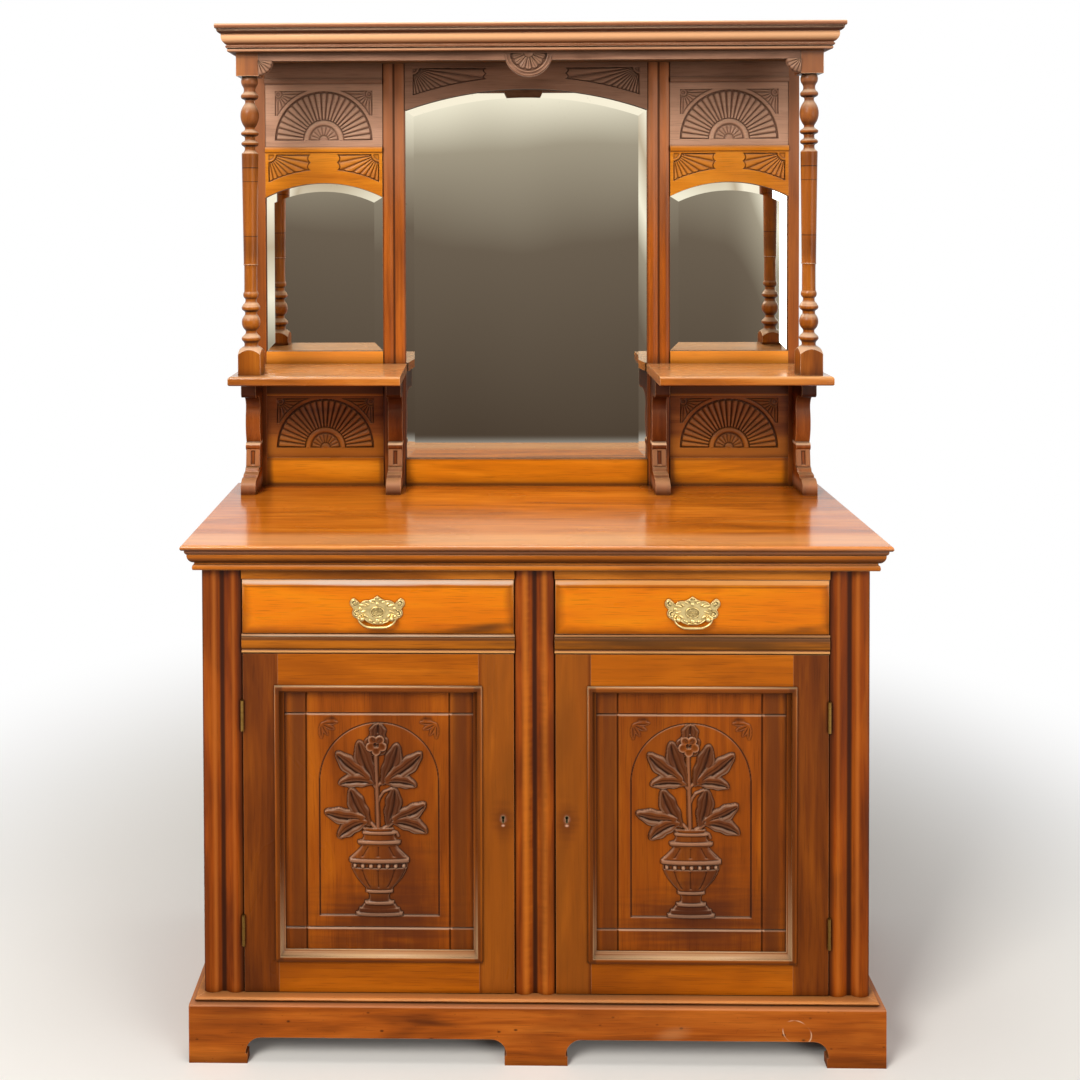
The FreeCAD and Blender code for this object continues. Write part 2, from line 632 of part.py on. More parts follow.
def hinge_recesses(side):
    """Tools for the pins' clearance and the leaves' seats, on the left door or its pilaster."""
    tools = []
    for tag, bottom in hinge_levels().items():
        name = "hinge_%s_%s" % (side, tag)
        seat = ("-pin_across - front_gap / 2 - leaf_thick", "-pin_across - front_gap / 2")
        if side == "moving":
            seat = ("-pin_across + front_gap / 2", "-pin_across + front_gap / 2 + leaf_thick")
        level = (bottom, bottom + " + hinge_length")
        tools.append(board(name + "_seat", seat, ("pin_deep", "pin_deep + leaf_width"), level))
        tools.append(rod(name + "_clearance", "knuckle_radius + hinge_clear",
                         "hinge_length + 2 * hinge_clear",
                         ("-pin_across", "pin_deep", bottom + " - hinge_clear"), Vector(0, 0, 1)))
    return tools


def hinge_leaf(side, tag, bottom):
    """One leaf with its knuckles; the fixed leaf holds the pin and the moving leaf is bored for it."""
    name = "leaf_%s_%s" % (side, tag)
    sign = "-" if side == "fixed" else "+"
    inner_face = "-pin_across %s front_gap / 2" % sign
    outer_face = "-pin_across %s (front_gap / 2 + leaf_thick)" % sign
    across = (outer_face, inner_face) if side == "fixed" else (inner_face, outer_face)
    whole = (bottom, bottom + " + hinge_length")
    plate = cut(name + "_plate",
                board(name + "_board", across, ("pin_deep", "pin_deep + leaf_width"), whole),
                [rod(name + "_relief", "knuckle_radius + knuckle_gap", "hinge_length",
                     ("-pin_across", "pin_deep", bottom), Vector(0, 0, 1))])
    pieces = [plate]
    step = "hinge_length / 5"
    wanted = (0, 2, 4) if side == "fixed" else (1, 3)
    for index in wanted:
        start = "%s + %d * %s" % (bottom, index, step)
        low = start + (" + knuckle_gap" if side == "moving" else "")
        length = step + (" - 2 * knuckle_gap" if side == "moving" else "")
        pieces.append(rod("%s_knuckle_%d" % (name, index), "knuckle_radius", length,
                          ("-pin_across", "pin_deep", low), Vector(0, 0, 1)))
        pieces.append(board("%s_web_%d" % (name, index), across, ("pin_deep", "pin_deep + 5"),
                            (low, "%s + %s" % (low, length))))
    if side == "fixed":
        pieces.append(rod(name + "_pin", "pin_radius", "hinge_length",
                          ("-pin_across", "pin_deep", bottom), Vector(0, 0, 1)))
        return fuse(name, pieces)
    bore = rod(name + "_bore", "pin_radius + pin_gap", "hinge_length",
               ("-pin_across", "pin_deep", bottom), Vector(0, 0, 1))
    return cut(name, fuse(name + "_solid", pieces), [bore])


def keyhole_outline(grow):
    """Round hole over a narrow slot, grown evenly for the escutcheon."""
    radius = value("keyhole_radius") + grow
    half = value("keyhole_radius") * 0.45 + grow
    drop = value("keyhole_drop") + grow
    across = -(value("door_in") + value("keyhole_in"))
    level = value("lock_level")
    foot = level - math.sqrt(radius ** 2 - half ** 2)
    return outline((across - half, foot),
                   [((across, level + radius), (across + half, foot)),
                    ((across + half, level - drop + half),),
                    ((across, level - drop), (across - half, level - drop + half))])


def lock_case_tool(name):
    """The room that the lock case takes in the back of the left door's inner stile."""
    return board(name, ("-door_in - lock_width", "-door_in"), ("face_back - lock_thick", "face_back"),
                 ("lock_level - lock_height / 2", "lock_level + lock_height / 2"))


def bolt_box(name, start, gap, length):
    """The bolt, or with a gap the channel that it slides in; start is its tip."""
    middle = "(face_back - lock_thick / 2)"
    return board(name, ("%s - (%s)" % (start, length), start),
                 ("%s - bolt_thick / 2 - %s" % (middle, gap), "%s + bolt_thick / 2 + %s" % (middle, gap)),
                 ("lock_level - bolt_height / 2 - %s" % gap, "lock_level + bolt_height / 2 + %s" % gap))


def keep_recess(name):
    """The seat of the keep plate in the centre pilaster's left edge."""
    return board(name, ("-opening_in", "-opening_in + keep_plate"),
                 ("face_back - lock_thick", "face_back"),
                 ("lock_level - keep_height / 2", "lock_level + keep_height / 2"))


def keep_mortise(name):
    """The mortise that the bolt shoots into."""
    middle = "(face_back - lock_thick / 2)"
    return board(name, ("-opening_in", "-opening_in + keep_depth"),
                 (middle + " - bolt_thick / 2 - 0.5", middle + " + bolt_thick / 2 + 0.5"),
                 ("lock_level - bolt_height / 2 - keep_gap", "lock_level + bolt_height / 2 + keep_gap"))


def make_carcass_ironmongery():
    """Fixed hinge leaves in the outer pilasters and keep plates in the centre one."""
    fixed = [hinge_leaf("fixed", tag, bottom) for tag, bottom in hinge_levels().items()]
    node("hinge_fixed_leaves", fixed + [mirrored(item) for item in fixed])
    plate = cut("keep_plate_left", keep_recess("keep_blank"), [keep_mortise("keep_slot")])
    pair("lock_keeps", plate)


# ---------------------------------------------------------------- doors

def door_frame_runs():
    """Corner points of the door moulding's outer edge, going round the left door."""
    inset = value("door_mould_inset")
    low, high = value("door_low") + inset, value("door_high") - inset
    outer, inner = -(value("door_out") - inset), -(value("door_in") + inset)
    face = value("door_face")
    return [Vector(outer, face, low), Vector(outer, face, high), Vector(inner, face, high),
            Vector(inner, face, low)]


def make_door_moulding():
    """Four mitred lengths of moulding, lapping over the frame and down on to the panel."""
    width, rise, lap = value("door_mould_width"), value("door_mould_rise"), value("door_mould_lap")
    drop = value("panel_set")
    section = outline((0, 0), [((0, rise * 0.4),), ((rise * 0.25, rise * 0.85), (rise * 0.6, rise)),
                               ((rise * 1.1, rise),), ((rise * 1.5, rise * 0.85), (rise * 1.6, rise * 0.4)),
                               ((width * 0.72, -drop * 0.25), (width - 2.2, -drop * 0.55)),
                               ((width - 1.6, -drop * 0.62),),
                               ((width - 0.2, -drop * 0.78), (width, -drop)),
                               ((lap, -drop),), ((lap, 0),)])
    corners = door_frame_runs()
    centre = (corners[0] + corners[2]) * 0.5
    outwards = Vector(0, -1, 0)
    strips = []
    for index, start in enumerate(corners):
        end = corners[(index + 1) % 4]
        along = (end - start).normalize()
        inward = outwards.cross(along)
        if (centre - start).dot(inward) < 0:
            inward = inward * -1
        strip = mitred_run(section, start, end, inward, outwards, width + 4)
        strips.append(fixed_shape("door_moulding_strip_%d" % (index + 1), strip))
    return strips


def carving_ground():
    """The arched ground that is sunk into the panel behind its carving."""
    half, foot, spring = value("carving_half"), value("carving_foot"), value("carving_spring")
    middle = -value("drawer_middle")
    return upright("carving_ground", outline((middle - half, foot), [
        ((middle - half, spring),), ((middle, spring + half), (middle + half, spring)),
        ((middle + half, foot),)]), "carving_depth + 1", "panel_face + carving_depth")


def make_left_door():
    """Frame, panel, moulding, hinge leaves and lock of the left door, as (name, members) pairs."""
    depth = ("door_face", "face_back")
    outer = ("-door_out", "-door_out + stile_width")
    inner = ("-door_in - stile_width", "-door_in")
    between = ("-door_out + stile_width", "-door_in - stile_width")
    panel_depth = ("panel_face", "panel_face + panel_thick")
    level = ("door_low", "door_high")
    keyhole = upright("keyhole_cut", keyhole_outline(0), "door_thick", "face_back - lock_thick / 2")
    seat = upright("escutcheon_seat", keyhole_outline(value("escutcheon_wall")), "escutcheon_depth + 1",
                   "door_face + escutcheon_depth")
    hinge_stile = cut("hinge_stile", board("hinge_stile_board", outer, depth, level),
                      [board("hinge_stile_groove", ("-door_out + stile_width - panel_tongue",
                                                    "-door_out + stile_width"), panel_depth, level)]
                      + hinge_recesses("moving"))
    lock_stile = cut("lock_stile", board("lock_stile_board", inner, depth, level),
                     [board("lock_stile_groove", ("-door_in - stile_width",
                                                  "-door_in - stile_width + panel_tongue"),
                            panel_depth, level), lock_case_tool("lock_pocket"), keyhole, seat])
    rails = []
    for tag, low, high, groove in (
            ("lower", "door_low", "door_low + stile_width",
             ("door_low + stile_width - panel_tongue", "door_low + stile_width")),
            ("upper", "door_high - stile_width", "door_high",
             ("door_high - stile_width", "door_high - stile_width + panel_tongue"))):
        solid = fuse("door_rail_%s_solid" % tag, [
            board("door_rail_%s_board" % tag, between, depth, (low, high)),
            board("door_rail_%s_tenon" % tag, (between[0] + " - panel_tongue",
                                               between[1] + " + panel_tongue"), panel_depth, (low, high))])
        groove_tool = board("door_rail_%s_groove" % tag, (between[0] + " - panel_tongue",
                                                          between[1] + " + panel_tongue"),
                            panel_depth, groove)
        rails.append(cut("door_rail_" + tag, solid, [groove_tool]))
    panel = cut("door_panel_carved", board(
        "door_panel_board", (between[0] + " - panel_tongue", between[1] + " + panel_tongue"),
        panel_depth, ("door_low + stile_width - panel_tongue", "door_high - stile_width + panel_tongue")),
        [carving_ground()])
    leaves = [hinge_leaf("moving", tag, bottom) for tag, bottom in hinge_levels().items()]
    case_keyhole = upright("case_keyhole", keyhole_outline(0), "lock_thick", "face_back - lock_thick / 2")
    tip = "-door_in - bolt_set"
    channel = bolt_box("bolt_channel", "-door_in + 1", "bolt_gap", "bolt_length + bolt_set + bolt_gap + 1")
    case = cut("lock_case", lock_case_tool("lock_case_block"), [channel, case_keyhole])
    ring = cut("escutcheon", upright("escutcheon_blank", keyhole_outline(value("escutcheon_wall")),
                                     "escutcheon_depth", "door_face + escutcheon_depth"),
               [upright("escutcheon_hole", keyhole_outline(0), "escutcheon_depth + 2",
                        "door_face + escutcheon_depth + 1")])
    return [("door_stiles", [hinge_stile, lock_stile]), ("door_rails", rails), ("door_panel", [panel]),
            ("door_moulding", make_door_moulding()), ("door_hinge_leaves", leaves),
            ("door_lock", [case, ring]), ("door_bolt", [bolt_box("bolt", tip, "0", "bolt_length")])]


# ---------------------------------------------------------------- drawers

def make_left_drawer():
    """Front, box, bottom and pull of the left drawer, as (name, members) pairs."""
    low_x, high_x = "-door_out", "-door_in"
    slab = board("drawer_front_slab", (low_x, high_x),
                 ("drawer_face + drawer_bevel_drop", "drawer_front_back"), ("drawer_low", "drawer_high"))
    field = doc.addObject("Part::Wedge", "drawer_front_field")
    field.Placement = Placement(Vector(), Rotation())
    formulas = {
        "Xmin": low_x, "Xmax": high_x, "Zmin": "drawer_low", "Zmax": "drawer_high",
        "X2min": low_x + " + drawer_bevel", "X2max": high_x + " - drawer_bevel",
        "Z2min": "drawer_low + drawer_bevel", "Z2max": "drawer_high - drawer_bevel",
        "Ymin": "0", "Ymax": "drawer_bevel_drop",
    }
    for name, formula in formulas.items():
        field.setExpression(name, spell(formula))
    flipped = doc.addObject("Part::Mirroring", "drawer_front_field_flipped")
    flipped.Source = field
    flipped.Base = Vector(0, 0, 0)
    flipped.Normal = Vector(0, 1, 0)
    flipped.setExpression("Placement.Base.y", spell("drawer_face + drawer_bevel_drop"))
    bottom_level = ("box_low + drawer_bottom_lift", "box_low + drawer_bottom_lift + drawer_bottom_thick")
    bottom_depth = ("drawer_front_back - drawer_groove", "drawer_end")
    inset = "drawer_side_thick - drawer_groove"
    bottom_across = ("-box_out + " + inset, "-box_in - (%s)" % inset)
    groove = board("drawer_bottom_groove", bottom_across, bottom_depth, bottom_level)
    post_holes = [rod("post_hole_" + tag, "post_radius", "drawer_front_thick + 2",
                      (across, "drawer_face - 1", "post_level"), Vector(0, 1, 0))
                  for tag, across in (("outer", "-drawer_middle - post_spread"),
                                      ("inner", "-drawer_middle + post_spread"))]
    front = cut("drawer_front_solid", fuse("drawer_front_blank", [slab, flipped]), [groove] + post_holes)
    side_depth = ("drawer_front_back", "drawer_end")
    side_level = ("box_low", "box_high")
    outer = cut("drawer_side_outer", board(
        "drawer_side_outer_board", ("-box_out", "-box_out + drawer_side_thick"), side_depth, side_level),
        [board("drawer_side_outer_groove", bottom_across, bottom_depth, bottom_level)])
    inner = cut("drawer_side_inner", board(
        "drawer_side_inner_board", ("-box_in - drawer_side_thick", "-box_in"), side_depth, side_level),
        [board("drawer_side_inner_groove", bottom_across, bottom_depth, bottom_level)])
    back = board("drawer_back", ("-box_out + drawer_side_thick", "-box_in - drawer_side_thick"),
                 ("drawer_end - drawer_side_thick", "drawer_end"),
                 (bottom_level[1], "box_high - 4"))
    bottom = board("drawer_bottom_board", bottom_across, bottom_depth, bottom_level)
    return [("drawer_front", [front]), ("drawer_box", [outer, inner, back]), ("drawer_bottom", [bottom]),
            ("pull_plate", make_pull_plate()), ("pull_bail", [make_bail()])]


def plate_outline():
    """Bat-wing backplate: a finial on top, two wings each side and a lower edge under the posts."""
    middle, level = -value("drawer_middle"), value("pull_level")
    unit = value("plate_width") / 93.0
    half = [((-9, 20.5), (-15, 18.5)), ((-24, 17.5), (-31, 11)), ((-35, 17.5), (-41, 22.5)),
            ((-47, 17), (-44, 8)), ((-40.5, 3.5),), ((-43, -6), (-37, -11)),
            ((-32, -9), (-28, -5)), ((-23, -13), (-15, -19)), ((-8, -22),)]

    def point(xy, sign):
        return (middle + sign * xy[0] * unit, level + xy[1] * unit)
    steps = [tuple(point(xy, 1) for xy in step) for step in half]
    steps.append((point((-8, -22), -1),))
    ends = [(0, 27)] + [step[-1] for step in half]
    for index in range(len(half) - 1, -1, -1):
        bend = half[index][:-1]
        steps.append(tuple(point(xy, -1) for xy in (list(bend) + [ends[index]])))
    return outline(point((0, 27), 1), steps)


def make_pull_plate():
    """The backplate, and the two posts with round heads and square nuts that hold it and the bail."""
    posts, holes = [], []
    for tag, sign in (("outer", "-"), ("inner", "+")):
        across = "-drawer_middle %s post_spread" % sign
        shank = rod("post_shank_" + tag, "post_radius",
                    "drawer_front_thick + plate_thick + post_stand + nut_thick",
                    (across, "bail_deep", "post_level"), Vector(0, 1, 0))
        head = doc.addObject("Part::Sphere", "post_head_" + tag)
        head.setExpression("Radius", spell("post_head"))
        for letter, formula in zip("xyz", (across, "bail_deep", "post_level")):
            head.setExpression("Placement.Base." + letter, spell(formula))
        nut = board("post_nut_" + tag, (across + " - nut_side / 2", across + " + nut_side / 2"),
                    ("drawer_front_back", "drawer_front_back + nut_thick"),
                    ("post_level - nut_side / 2", "post_level + nut_side / 2"))
        bore = rod("post_bore_" + tag, "bail_pin + pin_gap", "4 * post_head",
                   (across + " - 2 * post_head", "bail_deep", "post_level"), Vector(1, 0, 0))
        posts.append(cut("post_" + tag, fuse("post_%s_solid" % tag, [shank, head, nut]), [bore]))
        holes.append(rod("plate_hole_" + tag, "post_radius", "plate_thick + 2",
                         (across, "plate_front - 1", "post_level"), Vector(0, 1, 0)))
    for index, (across, up, radius) in enumerate(PLATE_PIERCINGS, start=1):
        for sign in "-+":
            holes.append(rod("piercing_%d_%s" % (index, "inner" if sign == "+" else "outer"), radius,
                             "plate_thick + 2", ("-drawer_middle %s %s * plate_width" % (sign, across),
                                                 "plate_front - 1", "pull_level + %s * plate_width" % up),
                             Vector(0, 1, 0)))
    blank = upright("backplate_blank", plate_outline(), "plate_thick", "drawer_face")
    plate = cut("backplate", blank, holes)
    return [plate] + posts


def make_bail():
    """Cast bail: a bent bar that drops in front of the plate, with a pin into each post's head."""
    middle, deep, level = -value("drawer_middle"), value("bail_deep"), value("post_level")
    radius, pin, drop = value("bail_radius"), value("bail_pin"), value("bail_drop")
    arm = value("post_spread") + value("post_head") + value("bail_clear") + radius
    floor = value("bail_floor")
    bend = 3.0 * radius
    shoulder = Vector(middle - arm, deep, level - 1.0)
    corner = Vector(middle - arm, deep, level - drop * 0.35)
    low = Vector(middle - floor, deep, level - drop)
    points = [shoulder, corner, low, Vector(middle + floor, deep, level - drop),
              Vector(middle + arm, deep, level - drop * 0.35), Vector(middle + arm, deep, level - 1.0)]
    edges = rounded_path(points, bend)
    wire = Part.Wire(edges)
    disc = Part.Wire(Part.makeCircle(radius, points[0], Vector(0, 0, -1)))
    bar = wire.makePipeShell([disc], True, False)
    solids = [bar]
    for sign in (-1, 1):
        top = Vector(middle + sign * arm, deep, level)
        solids.append(Part.makeSphere(radius * 1.25, top))
        reach = value("post_spread") - value("post_head") * 0.6
        solids.append(Part.makeCylinder(pin, arm - reach, top, Vector(-sign, 0, 0)))
    shape = solids[0]
    for solid in solids[1:]:
        shape = shape.fuse(solid)
    return fixed_shape("bail", shape.removeSplitter())


def rounded_path(points, radius):
    """Straight runs through the points, each corner rounded by a tangent arc that its runs allow."""
    edges = []
    here = points[0]
    for index in range(1, len(points) - 1):
        before, corner, after = points[index - 1], points[index], points[index + 1]
        back, ahead = (before - corner).normalize(), (after - corner).normalize()
        turn = math.pi - back.getAngle(ahead)
        room = 0.45 * min((before - corner).Length, (after - corner).Length)
        tangent = min(radius * math.tan(turn / 2), room)
        bend = tangent / math.tan(turn / 2)
        start, end = corner + back * tangent, corner + ahead * tangent
        towards = (back + ahead).normalize()
        centre_distance = bend / math.cos(turn / 2)
        middle = corner + towards * (centre_distance - bend)
        edges.append(Part.LineSegment(here, start).toShape())
        edges.append(Part.Arc(start, middle, end).toShape())
        here = end
    edges.append(Part.LineSegment(here, points[-1]).toShape())
    return edges


# ---------------------------------------------------------------- gallery frame and mirrors

def arched_outline(half, middle, base, spring, rise):
    """An upright opening with a segmental head."""
    return outline((middle - half, base), [((middle - half, spring),),
                                           ((middle, spring + rise), (middle + half, spring)),
                                           ((middle + half, base),)])


def inset_arch(half, base, spring, rise, inset):
    """The same opening with every edge moved in by a distance, or out if that is negative."""
    radius = (half ** 2 + rise ** 2) / (2 * rise)
    centre = spring + rise - radius
    new_half, new_radius = half - inset, radius - inset
    new_spring = centre + math.sqrt(new_radius ** 2 - new_half ** 2)
    return new_half, base + inset, new_spring, centre + new_radius - new_spring


def opening_sizes(tag):
    """Half width, middle, base, springing and rise of the centre or the left side opening."""
    if tag == "centre":
        return (value("centre_half"), 0.0, value("centre_glass_base"), value("centre_glass_spring"),
                value("centre_glass_rise"))
    half = (value("side_out") - value("side_in")) / 2
    return (half, -value("side_middle"), value("side_glass_base"), value("side_glass_spring"),
            value("side_glass_rise"))


def rebate_outline(tag):
    """The outline of the glass and its rebate, larger than the opening that shows."""
    half, middle, base, spring, rise = opening_sizes(tag)
    return arched_outline(*[(new[0], middle, new[1], new[2], new[3]) for new in
                            [inset_arch(half, base, spring, rise, -value("rebate"))]][0])


def rebate_tool(name, tag):
    """Everything behind the lip, inside the rebate's outline."""
    return upright(name, rebate_outline(tag), "frame_thick", "glass_plane + frame_thick")


def sight_tool(name, tag):
    """The arched opening that shows."""
    return upright(name, arched_outline(*opening_sizes(tag)), "frame_thick + 2", "slab_back + 1")


def make_mirror(tag):
    """Silvered plate with a bevelled margin: a flat plate in the rebate and a raised field in front."""
    half, middle, base, spring, rise = opening_sizes(tag)
    plate = upright("mirror_plate_" + tag, rebate_outline(tag), "glass_thick", "glass_plane + glass_thick")
    bevel, drop = value("glass_bevel"), value("bevel_drop")
    plane = value("glass_plane")
    wires = []
    for inset, deep in ((0.0, plane), (bevel, plane - drop)):
        new_half, new_base, new_spring, new_rise = inset_arch(half, base, spring, rise, inset)
        edges = arched_outline(new_half, middle, new_base, new_spring, new_rise)
        stand = Placement(Vector(0, deep, 0), Rotation(Vector(1, 0, 0), 90))
        wires.append(Part.Wire([edge.toShape() for edge in edges]).transformed(stand.toMatrix()))
    field = fixed_shape("mirror_field_" + tag, Part.makeLoft(wires, True, True))
    return fuse("mirror_" + tag, [plate, field])


def make_gallery_frame():
    """Stiles, rails and arched rails of the back, each cut for the mirrors that it holds."""
    depth = ("frame_front", "slab_back")
    upright_level = ("slab_top", "gallery_top")
    outer_board = board("outer_stile_board", ("-gallery_half", "-side_out"), depth, upright_level)
    outer = cut("outer_stile_left", outer_board, [rebate_tool("outer_stile_rebate", "side")])
    pair("back_outer_stiles", outer)
    width, rise = value("inner_stile"), 3.0
    thick = value("frame_thick")
    reed = (width - 6.0) / 2
    section = outline((0, thick), [((0, rise),), ((reed / 2, 0), (reed, rise)), ((reed + 6.0, rise),),
                                   ((reed + 6.0 + reed / 2, 0), (width, rise)), ((width, thick),)])
    stile = slab_of("inner_stile_reeded", "XY_Plane", section, "gallery_top - slab_top", "slab_top")
    stile.setExpression("Placement.Base.x", spell("-side_in"))
    stile.setExpression("Placement.Base.y", spell("frame_front"))
    rebates = [rebate_tool("inner_stile_side_rebate", "side"), rebate_tool("inner_stile_rebate", "centre")]
    pair("back_inner_stiles", cut("inner_stile_left", stile, rebates))
    side = ("-side_out", "-side_in")
    low_side = board("bottom_rail_side", side, depth, ("slab_top", "low_panel_base"))
    low_board = board("bottom_rail_centre_board", ("-centre_half", "centre_half"), depth,
                      ("slab_top", "centre_glass_base"))
    low_centre = cut("bottom_rail_centre", low_board, [rebate_tool("bottom_rail_rebate", "centre")])
    node("back_bottom_rails", [low_side, low_centre, mirrored(low_side)])
    pair("back_shelf_rails", cut("shelf_rail_left", board("shelf_rail_board", side, depth,
                                                          ("low_panel_top", "side_glass_base")),
                                 [rebate_tool("shelf_rail_rebate", "side")]))
    arch_board = board("side_arch_board", side, depth, ("side_glass_spring", "upper_fan_base"))
    arch = cut("side_arch_cut", arch_board,
               [sight_tool("side_arch_sight", "side"), rebate_tool("side_arch_rebate", "side")])
    pair("side_arch_rails", fuse("side_arch_left", [arch, rail_bead(
        "side_arch_bead", "upper_fan_base - arch_bead")]))
    top_board = board("top_rail_side_board", side, depth, ("high_panel_top", "gallery_top"))
    pair("back_top_rails", fuse("top_rail_side", [top_board, rail_bead("top_rail_bead", "high_panel_top")]))
    node("centre_arch_rail", cut("centre_arch", board(
        "centre_arch_board", ("-centre_half", "centre_half"), depth, ("centre_glass_spring", "gallery_top")),
        [sight_tool("centre_arch_sight", "centre"), rebate_tool("centre_arch_rebate", "centre")]))


def rail_bead(name, foot):
    """A half-round bead along the face of a side rail, from a level up."""
    height, rise = value("arch_bead"), value("arch_bead_rise")
    section = outline((0, 0), [((0, height),), ((-rise * 0.3, height),),
                               ((-rise, height / 2), (-rise * 0.3, 0))])
    bead = slab_of(name, "YZ_Plane", section, "side_out - side_in", "-side_out")
    bead.setExpression("Placement.Base.y", spell("frame_front"))
    bead.setExpression("Placement.Base.z", spell(foot))
    return bead


def fan_panel(tag, base, top, lift):
    """A panel with a half-round sunk fan and a raised half-round hub."""
    face = "frame_front + fan_panel_set"
    blank = board("fan_panel_%s_board" % tag, ("-side_out", "-side_in"), (face, face + " + fan_panel_thick"),
                  (base, top))
    middle, level = -value("side_middle"), value(base) + value(lift)
    radius, hub = value("fan_radius"), value("fan_hub")
    sunk = outline((middle - radius, level), [((middle, level + radius), (middle + radius, level)),
                                              ((middle + hub, level),),
                                              ((middle, level + hub), (middle - hub, level))])
    pocket = upright("fan_pocket_" + tag, sunk, "fan_depth + 1", face + " + fan_depth")
    return cut("fan_panel_" + tag, blank, [pocket])


def make_gallery_panels():
    """Carved fan panels, mirrors, and the backing boards behind the mirrors."""
    low = fan_panel("low", "low_panel_base", "low_panel_top", "low_fan_lift")
    high = fan_panel("high", "upper_fan_base", "high_panel_top", "high_fan_lift")
    node("fan_panels", [low, high, mirrored(low), mirrored(high)])
    node("centre_mirror", make_mirror("centre"))
    pair("side_mirrors", make_mirror("side"))
    backing_thick = "frame_thick - lip_thick - glass_thick"
    side = upright("backing_side", rebate_outline("side"), backing_thick, "slab_back")
    centre = upright("backing_centre", rebate_outline("centre"), backing_thick, "slab_back")
    node("mirror_backings", [side, centre, mirrored(side)])


# ---------------------------------------------------------------- shelves, brackets, columns, cornice

def make_shelves():
    """Display shelves with a thumbnail edge on the front and the outer end."""
    thick, nose = value("shelf_thick"), value("shelf_nose")
    reach = 12.0
    edge = outline((reach, 0), [((reach, thick),), ((5.5, thick),), ((1.6, thick - 1.6), (0, thick - 5.5)),
                                ((0, nose),), ((1.2, 1.2), (nose, 0))])
    level = value("shelf_under")
    left = Vector(-value("carcass_half"), value("shelf_front"), level)
    inner = Vector(-(value("centre_half") - value("shelf_lap")), value("shelf_front"), level)
    back = Vector(-value("carcass_half"), value("frame_front"), level)
    up, inward, side_in = Vector(0, 0, 1), Vector(0, 1, 0), Vector(1, 0, 0)
    front_edge = fixed_shape("shelf_front_edge", mitred_run(edge, left, inner, inward, up, reach,
                                                            mitre_end=False))
    side_edge = fixed_shape("shelf_side_edge", mitred_run(edge, left, back, side_in, up, reach,
                                                          mitre_end=False))
    core = board("shelf_core", ("-carcass_half + 12", "-centre_half + shelf_lap"),
                 ("shelf_front + 12", "frame_front"), ("shelf_under", "shelf_top"))
    pair("display_shelves", fuse("display_shelf", [core, front_edge, side_edge]))


def bracket_outline():
    """Side view of a scrolled bracket: (Y, Z), with the wall side straight."""
    back, low, high = value("frame_front"), value("slab_top"), value("shelf_under")
    foot, head, waist = value("bracket_foot"), value("bracket_head"), value("bracket_waist")

    def at(forward, up):
        return (back - forward, up)
    return outline(at(0, high), [
        (at(head, high),), (at(head, high - 32),),
        (at(head - 3, high - 41), at(head - 12, high - 43)),
        (at(head - 40, high - 52), at(waist + 5, high - 78)),
        (at(waist + 8, high - 110), at(waist, low + 96)),
        (at(waist + 9, low + 88), at(waist, low + 80)),
        (at(waist - 1, low + 56), at(waist + 14, low + 39)),
        (at(waist + 32, low + 35),), (at(waist + 34, low + 30),),
        (at(foot - 3, low + 23), at(foot, low + 10)),
        (at(foot, low),), (at(0, low),)])


def make_brackets():
    """Four scrolled brackets between the slab and the display shelves."""
    brackets = []
    for tag, across in (("outer", "-carcass_half"), ("inner", "-centre_half - bracket_thick - 6")):
        brackets.append(slab_of("bracket_" + tag, "YZ_Plane", bracket_outline(), "bracket_thick", across))
    node("shelf_brackets", brackets + [mirrored(item) for item in brackets])


def turning_outline(top, foot):
    """Half outline of the turned part of a column, from its top block to its base block."""
    steps = []
    level = top
    rows = list(TURNING_ABOVE)
    rest = sum(row[0] for row in TURNING_ABOVE) + sum(row[0] for row in TURNING_BELOW)
    shaft = (top - foot) - rest - SHAFT_RING[0] - 2.0
    rows += [(2.0, None, SHAFT_TOP_RADIUS), (shaft, None, SHAFT_FOOT_RADIUS), SHAFT_RING]
    rows += list(TURNING_BELOW)
    for height, middle, radius in rows:
        if middle is not None:
            steps.append(((middle, level - height / 2), (radius, level - height)))
        else:
            steps.append(((radius, level - height),))
        level -= height
    return outline((0, top), [((14.0, top),)] + steps + [((0, foot),)])


def make_columns():
    """Turned columns between the shelves and the cornice, with square ends."""
    half = "column_block / 2"
    across, deep = "-column_across", "column_deep"
    square = (("%s - %s" % (across, half), "%s + %s" % (across, half)),
              ("%s - %s" % (deep, half), "%s + %s" % (deep, half)))
    cap = board("column_cap", *square, ("gallery_top - cap_height", "gallery_top"))
    top = value("gallery_top") - value("cap_height")
    foot = value("shelf_top") + value("base_height")
    middle = turned("column_turning", turning_outline(top, foot + TONGUE_HEIGHT * 0.5), across, deep)
    base_box = board("column_base_box", *square, ("shelf_top", "shelf_top + base_height + 15"))
    dome = turned("column_tongue", outline((0, value("shelf_top") - 1), [
        ((TONGUE_RADIUS, value("shelf_top") - 1),), ((TONGUE_RADIUS, foot - 8.0),),
        ((26.0, foot + 2.0), (16.0, foot + TONGUE_HEIGHT * 0.5)),
        ((0, foot + TONGUE_HEIGHT * 0.5),)]), across, deep)
    base = common("column_base", [base_box, dome])
    pair("columns", fuse("column", [cap, middle, base]))


def cornice_section():
    """Fillet, cove, ovolo, step and bead, measured in from the top edge and up from the soffit."""
    high, reach = value("cornice_height"), value("cornice_mould")
    return outline((reach, 0), [((reach, high),), ((1.0, high),), ((-0.2, high - 4.5), (1.0, high - 9.0)),
                                ((3.5, high - 9.0),), ((5.2, high - 15.5), (10.5, high - 18.5)),
                                ((11.0, high - 20.0),), ((11.8, high - 30.0), (17.0, high - 37.0)),
                                ((19.5, high - 38.0),), ((19.5, high - 40.0),), ((17.8, high - 40.5),),
                                ((17.8, high - 44.0),), ((22.0, high - 45.5),),
                                ((20.2, high - 48.6), (22.0, 0))])


